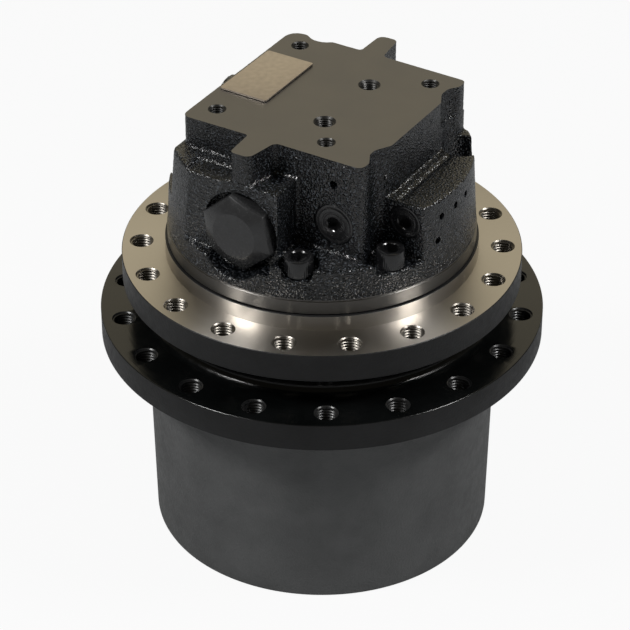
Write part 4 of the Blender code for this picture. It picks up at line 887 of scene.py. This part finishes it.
def make_hub(gloss, side, body, thread_look):
    """The turning hub with the sprocket flange and its tapped holes."""
    wall = HUB_FOOT_R - HUB_WALL
    profile = [
        (NECK_BORE_R, NECK_TOP, 0),
        (NECK_BORE_R, HUB_INNER_TOP, 0),
        (wall, HUB_INNER_TOP, 0),
        (wall, 0.0, 0.0005),
        (HUB_FOOT_R, 0.0, HUB_FOOT_ROUND),
        (HUB_TOP_R, SPROCKET_FLANGE_BOTTOM, 0.0010),
        (SPROCKET_FLANGE_R, SPROCKET_FLANGE_BOTTOM, EDGE),
        (SPROCKET_FLANGE_R, SPROCKET_FLANGE_TOP, EDGE),
        (NECK_R, SPROCKET_FLANGE_TOP, NECK_ROOT),
        (NECK_R, NECK_TOP, EDGE),
    ]
    hub = turned("hub_body", arcs(profile, 5), ring=True)
    bottom, top = SPROCKET_FLANGE_BOTTOM, SPROCKET_FLANGE_TOP
    drilled = (SPROCKET_HOLE_CIRCLE_R, SPROCKET_HOLE_START, bottom, top)
    carve(hub, flange_drills(*drilled))
    set_look(hub, gloss, side, body, thread_look)

    def rule(centre, normal):
        radius = np.hypot(centre[:, 0], centre[:, 1])
        z = centre[:, 2]
        wall = np.abs(normal[:, 2]) < 0.9
        holes = (radius < SPROCKET_FLANGE_R - 3 * EDGE) & (radius > HUB_TOP_R + 3 * EDGE) & wall & (z < top)
        rim = (radius > SPROCKET_FLANGE_R - EDGE / 4) & (z < top)
        return np.where(holes, 3, np.where(rim, 1, np.where(z < bottom + EDGE / 2, 2, 0)))

    paint_by(hub, rule)
    smooth(hub)
    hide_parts("hub_housing")
    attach(hub, "hub")
    taps = flange_threads("sprocket_flange_threads", *drilled)
    set_look(taps, thread_look)
    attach(taps, "hub")


# Fittings


def socket_tools(hex_r, face, depth, lead, wide):
    """A hexagon socket below a face, and the cone that leads into it."""
    return [
        upright(hex_r, 0, 0, face - depth, face + EDGE, 6),
        upright(hex_r - LEAD_INSET, 0, 0, face - lead, face + EDGE, end_radius=hex_r + wide),
    ]


def make_screws(look):
    """Socket screws with a knurled head, one in each pocket."""
    seat = SCREW_FLOOR + GAP
    top = seat + SCREW_HEAD
    for number, (x, y) in enumerate(screw_places(), 1):
        profile = [
            (0.0, seat - SCREW_SHANK),
            (SCREW_R, seat - SCREW_SHANK),
            (SCREW_R, seat),
            (SCREW_HEAD_R - EDGE / 2, seat),
            (SCREW_HEAD_R, seat + EDGE / 2),
            (SCREW_HEAD_R, top - 1.6 * EDGE),
            (SCREW_HEAD_R - 0.5 * EDGE, top - 0.5 * EDGE),
            (SCREW_HEAD_R - 1.8 * EDGE, top),
            (0.0, top),
        ]
        screw = turned(f"cover_screw_body_{number}", profile, FINE_STEPS)
        for vertex in screw.data.vertices:
            radius = math.hypot(vertex.co.x, vertex.co.y)
            if radius > SCREW_HEAD_R - EDGE / 4:
                step = round(math.degrees(math.atan2(vertex.co.y, vertex.co.x)) * FINE_STEPS / 360)
                if step % 2:
                    vertex.co.xy *= 1 - SCREW_KNURL / radius
        carve(screw, socket_tools(SCREW_HEX_R, top, SCREW_SOCKET, *SCREW_LEAD))
        turn = Matrix.Rotation(SCREW_TURN * number, 4, "Z")
        screw.data.transform(Matrix.Translation((x, y, 0)) @ turn)
        set_look(smooth(screw, 28), look)
        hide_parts(f"cover_screw_{number}")
        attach(screw, "frame_side")


def make_caps(look):
    """Hexagon heads under a cone, sunk in the bosses."""
    profile = [
        (0.0, -CAP_SHANK, 0),
        (CAP_SHANK_R, -CAP_SHANK, 0),
        (CAP_SHANK_R, GAP - CAP_SINK, 0),
        (CAP_SEAT_R, GAP - CAP_SINK, 0),
        (CAP_SEAT_R, CAP_HEAD - CAP_CONE, 0),
        (CAP_FACE_R, CAP_HEAD, 0.0003),
        (0.0, CAP_HEAD, 0),
    ]
    corner_r = CAP_FLATS_R / math.cos(math.pi / 6)
    corners = [(*polar(corner_r, 90 + 60 * i), CAP_CORNER) for i in range(6)]
    for side, wall, direction in (("front", FRONT_BOSS_Y, -1), ("rear", REAR_BOSS_Y, 1)):
        cap = turned(f"spool_cap_{side}_body", arcs(profile, 3, closed=False), FINE_STEPS)
        hexagon = prism("hexagon", arcs(corners, 4), -TOOL_REACH, TOOL_REACH)
        hexagon.data.transform(Matrix.Rotation(CAP_TURN, 4, "Z"))
        carve(cap, [hexagon], "INTERSECT")
        bevelled(cap, CAP_RIM, 24)
        laid(cap, SPOOL_X, wall, SPOOL_Z, direction)
        set_look(smooth(cap, 24), look)
        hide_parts(f"spool_cap_{side}")
        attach(cap, "frame_side")


def make_hex_plugs(look):
    """Round socket plugs with two shallow rings turned in their face."""
    for side, x, y, z, radius in (
        ("front", SPEED_X, PLATE_FRONT, SPEED_Z, PLUG_R),
        ("side", SIDE_PLUG_X, RIGHT_BLOCK_FRONT, SIDE_PLUG_Z, SIDE_PLUG_R),
    ):
        profile = [
            (0.0, -PLUG_LENGTH, 0),
            (PLUG_NOSE_R, -PLUG_LENGTH, 0),
            (PLUG_NOSE_R, -PLUG_THREAD, 0),
            (radius, -PLUG_THREAD, 0),
            (radius, -PLUG_GROOVE, 0.0004),
            (radius - 0.0014, 0.0, 0),
            (radius - 0.0018, -PLUG_GROOVE / 2, 0),
            (radius - 0.0026, -PLUG_GROOVE, 0),
            (radius - 0.0030, 0.0, 0),
            (PLUG_SOCKET_R + 0.0034, 0.0, 0),
            (PLUG_SOCKET_R + 0.0030, -PLUG_GROOVE, 0),
            (PLUG_SOCKET_R + 0.0024, -PLUG_GROOVE, 0),
            (PLUG_SOCKET_R + 0.0020, 0.0, 0),
            (0.0, 0.0, 0),
        ]
        plug = turned(f"hex_plug_{side}_body", arcs(profile, 3, closed=False), FINE_STEPS)
        carve(plug, socket_tools(PLUG_SOCKET_R, 0.0, PLUG_SOCKET, *PLUG_LEAD))
        plug.data.transform(Matrix.Rotation(PLUG_TURN, 4, "Z"))
        laid(plug, x, y, z, -1)
        set_look(smooth(plug, 24), look)
        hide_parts(f"hex_plug_{side}")
        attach(plug, "frame_side")


def make_nameplate(look):
    """A bare plate with rounded corners."""
    x, y = NAMEPLATE_CENTRE
    half_x, half_y = [size / 2 for size in NAMEPLATE_SIZE]
    corners = []
    for right, back in ((-1, -1), (1, -1), (1, 1), (-1, 1)):
        corners.append((x + right * half_x, y + back * half_y, NAMEPLATE_CORNER))
    top = NAMEPLATE_BOTTOM + NAMEPLATE_THICKNESS
    plate = prism("nameplate_body", arcs(corners, 4), NAMEPLATE_BOTTOM, top)
    bevelled(plate, NAMEPLATE_RIM, 40)
    set_look(smooth(plate, 30), look)
    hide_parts("nameplate")
    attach(plate, "frame_side")


def make_hub_cover(look):
    """The dished end cover under the hub, with the holes of its two plugs."""
    profile = [
        (0.0, COVER_TOP, 0),
        (COVER_R, COVER_TOP, 0.0003),
        (COVER_R, COVER_BOTTOM, 0.0008),
        (COVER_DISH_R + 0.002, COVER_BOTTOM, 0.001),
        (COVER_DISH_R, COVER_BOTTOM + COVER_DISH, 0.001),
        (0.0, COVER_BOTTOM + COVER_DISH, 0),
    ]
    cover = turned("hub_cover_body", arcs(profile, 4, closed=False))
    low, high = COVER_BOTTOM - PLUG_MOUTH, COVER_TOP + PLUG_MOUTH
    ys = (PLUG_CIRCLE_R, -PLUG_CIRCLE_R)
    carve(cover, [upright(COVER_PLUG_R, 0, y, low, high, FINE_STEPS) for y in ys])
    set_look(smooth(cover), look)
    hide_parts("hub_cover")
    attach(cover, "hub")


# The studio


def ray_share(nodes, links, camera, glossy):
    """How much of the floor's white the camera's rays and the glossy rays see."""
    path = nodes.new("ShaderNodeLightPath")
    seen = nodes.new("ShaderNodeMath")
    seen.operation = "MULTIPLY"
    seen.inputs[1].default_value = camera
    links.new(path.outputs["Is Camera Ray"], seen.inputs[0])
    mirrored = nodes.new("ShaderNodeMath")
    mirrored.operation = "MULTIPLY_ADD"
    mirrored.inputs[1].default_value = glossy
    links.new(path.outputs["Is Glossy Ray"], mirrored.inputs[0])
    links.new(seen.outputs[0], mirrored.inputs[2])
    return mirrored.outputs[0]


def make_floor():
    """A plain floor that looks white and still shows the part's shadow."""
    shape = bmesh.new()
    bmesh.ops.create_grid(shape, x_segments=1, y_segments=1, size=FLOOR_SIZE)
    floor = as_object("floor", shape)
    look = bpy.data.materials.new("floor")
    look.use_nodes = True
    nodes = look.node_tree.nodes
    links = look.node_tree.links
    nodes.remove(nodes["Principled BSDF"])
    paper = nodes.new("ShaderNodeBsdfDiffuse")
    paper.inputs["Color"].default_value = FLOOR_COLOUR
    glow = nodes.new("ShaderNodeEmission")
    glow.inputs["Color"].default_value = WHITE
    mix = nodes.new("ShaderNodeMixShader")
    links.new(ray_share(nodes, links, FLOOR_SEEN, FLOOR_MIRRORED), mix.inputs["Fac"])
    links.new(paper.outputs[0], mix.inputs[1])
    links.new(glow.outputs[0], mix.inputs[2])
    links.new(mix.outputs[0], nodes["Material Output"].inputs["Surface"])
    set_look(floor, look)


def make_world():
    """A white backdrop, a soft room, and a warm sweep behind the part that metal reflects."""
    world = bpy.data.worlds.new("studio")
    bpy.context.scene.world = world
    world.use_nodes = True
    nodes = world.node_tree.nodes
    links = world.node_tree.links
    room = nodes["Background"]
    room.inputs["Color"].default_value = ROOM_COLOUR
    room.inputs["Strength"].default_value = ROOM_LEVEL
    direction = nodes.new("ShaderNodeTexCoord").outputs["Generated"]
    behind = nodes.new("ShaderNodeVectorMath")
    behind.operation = "DOT_PRODUCT"
    behind.inputs[1].default_value = SWEEP_DIRECTION
    links.new(direction, behind.inputs[0])
    level = nodes.new("ShaderNodeMapRange")
    level.interpolation_type = "SMOOTHSTEP"
    level.inputs["From Min"].default_value = SWEEP_START
    level.inputs["From Max"].default_value = SWEEP_END
    level.inputs["To Min"].default_value = SWEEP_DARK
    level.inputs["To Max"].default_value = SWEEP_LIGHT
    links.new(behind.outputs["Value"], level.inputs["Value"])
    sweep = nodes.new("ShaderNodeBackground")
    sweep.inputs["Color"].default_value = SWEEP_COLOUR
    links.new(level.outputs[0], sweep.inputs["Strength"])
    backdrop = nodes.new("ShaderNodeBackground")
    backdrop.inputs["Color"].default_value = WHITE
    path = nodes.new("ShaderNodeLightPath")
    mirrored = nodes.new("ShaderNodeMixShader")
    links.new(path.outputs["Is Glossy Ray"], mirrored.inputs["Fac"])
    links.new(room.outputs[0], mirrored.inputs[1])
    links.new(sweep.outputs[0], mirrored.inputs[2])
    seen = nodes.new("ShaderNodeMixShader")
    links.new(path.outputs["Is Camera Ray"], seen.inputs["Fac"])
    links.new(mirrored.outputs[0], seen.inputs[1])
    links.new(backdrop.outputs[0], seen.inputs[2])
    links.new(seen.outputs[0], nodes["World Output"].inputs["Surface"])


def make_lights():
    for name, place, width, height, power in SOFTBOXES:
        light = bpy.data.lights.new(name, "AREA")
        light.shape = "RECTANGLE"
        light.size = width
        light.size_y = height
        light.energy = power
        light.color = SOFTBOX_COLOUR
        obj = bpy.data.objects.new(name, light)
        obj.location = place
        aim = Vector(SOFTBOX_TARGET) - Vector(place)
        obj.rotation_euler = aim.to_track_quat("-Z", "Y").to_euler()
        bpy.context.scene.collection.objects.link(obj)


def make_camera():
    data = bpy.data.cameras.new("camera")
    data.lens = LENS
    data.sensor_width = SENSOR
    data.clip_start = CLIP_START
    camera = bpy.data.objects.new("camera", data)
    camera.location = CAMERA_PLACE
    camera.rotation_euler = (math.radians(CAMERA_TILT), 0.0, math.radians(CAMERA_TURN))
    bpy.context.scene.collection.objects.link(camera)
    bpy.context.scene.camera = camera


def dress_inner_nodes(frame):
    """Procedural finishes for the nodes that keep their own shape, by material slot."""
    looks = {
        "casting": plain_look("casting_plain", (0.012, 0.012, 0.013), 0.4, 0.0),
        "hub_paint": plain_look("hub_plain", (0.045, 0.045, 0.047), 0.45, 0.0),
        "flange_steel": plain_look("spindle_steel", (0.42, 0.39, 0.35), 0.35, 1.0),
        "bare_plate": plain_look("plate_plain", (0.42, 0.39, 0.34), 0.4, 1.0),
        "black_steel": plain_look("oxide_plain", (0.020, 0.020, 0.021), 0.42, 0.3),
        "gear_steel": plain_look("gear_steel", (0.42, 0.41, 0.39), 0.30, 1.0),
        "bearing_steel": plain_look("bearing_steel", (0.55, 0.55, 0.55), 0.20, 1.0),
        "motor_steel": plain_look("motor_steel", (0.38, 0.38, 0.38), 0.33, 1.0),
        "spring_steel": plain_look("spring_steel", (0.20, 0.20, 0.21), 0.35, 1.0),
        "bronze": plain_look("bronze", (0.55, 0.36, 0.17), 0.32, 1.0),
        "friction_lining": plain_look("friction_lining", (0.15, 0.12, 0.10), 0.7, 0.2),
        "seal_rubber": plain_look("seal_rubber", (0.018, 0.018, 0.018), 0.6, 0.0),
    }
    for row in frame["record"]["subparts"]:
        set_look(frame["nodes"][row["node"]], looks[row["material_slot"]])
    return looks


def main():
    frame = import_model()
    bpy.context.scene.view_settings.view_transform = "Standard"
    make_camera()
    looks = dress_inner_nodes(frame)
    paint = cast_paint()
    milled = milled_face()
    satin = plain_look(
        "cap_satin", (0.025, 0.025, 0.0255), 0.26, 0.0, 200, 0.00003, Specular_IOR_Level=0.5
    )
    oxide = plain_look(
        "black_oxide", (0.0060, 0.0060, 0.0065), 0.22, 0.0, 200, 0.00003, Specular_IOR_Level=0.7
    )
    face = turned_steel("turned_flange", (0.45, 0.42, 0.385), (0.55, 0.52, 0.48))
    rim = hub_paint(
        "flange_rim", (0.008, 0.008, 0.0083), (0.012, 0.012, 0.0124), 0.34, 0.46, Specular_IOR_Level=0.25
    )
    gloss = hub_paint("flange_gloss", (0.0015, 0.0018, 0.0018), (0.003, 0.0033, 0.0033), 0.14, 0.22, 0.00003)
    body = hub_paint(
        "hub_satin", (0.070, 0.071, 0.071), (0.092, 0.093, 0.093), 0.42, 0.58, 0.0005, Specular_IOR_Level=0.3
    )
    bright_thread = plain_look("thread_steel", (0.20, 0.185, 0.165), 0.36, 1.0)
    # A near-black copy of the thread steel for the hub flange's holes under the frame flange: painted shade.
    shaded_thread = plain_look("thread_painted_shade", (0.020, 0.020, 0.020), 0.30, 0.3)
    # Near-black iron for the cover's tapped holes and threads: painted shade in the holes.
    shaded_tapped = plain_look("tapped_painted_shade", (0.020, 0.019, 0.0175), 0.38, 0.5)
    plate = plain_look("plate_bare", (0.50, 0.44, 0.38), 0.42, 1.0, 300, 0.00004)
    band = turned_steel("band_steel", (0.16, 0.153, 0.144), (0.21, 0.202, 0.19))
    make_cover(paint, milled, shaded_tapped, band)
    make_cover_threads(shaded_tapped)
    make_spindle(face, rim, bright_thread)
    make_hub(gloss, rim, body, shaded_thread)
    make_screws(oxide)
    make_caps(satin)
    make_hex_plugs(oxide)
    make_nameplate(plate)
    make_hub_cover(looks["black_steel"])
    make_floor()
    make_world()
    make_lights()


main()
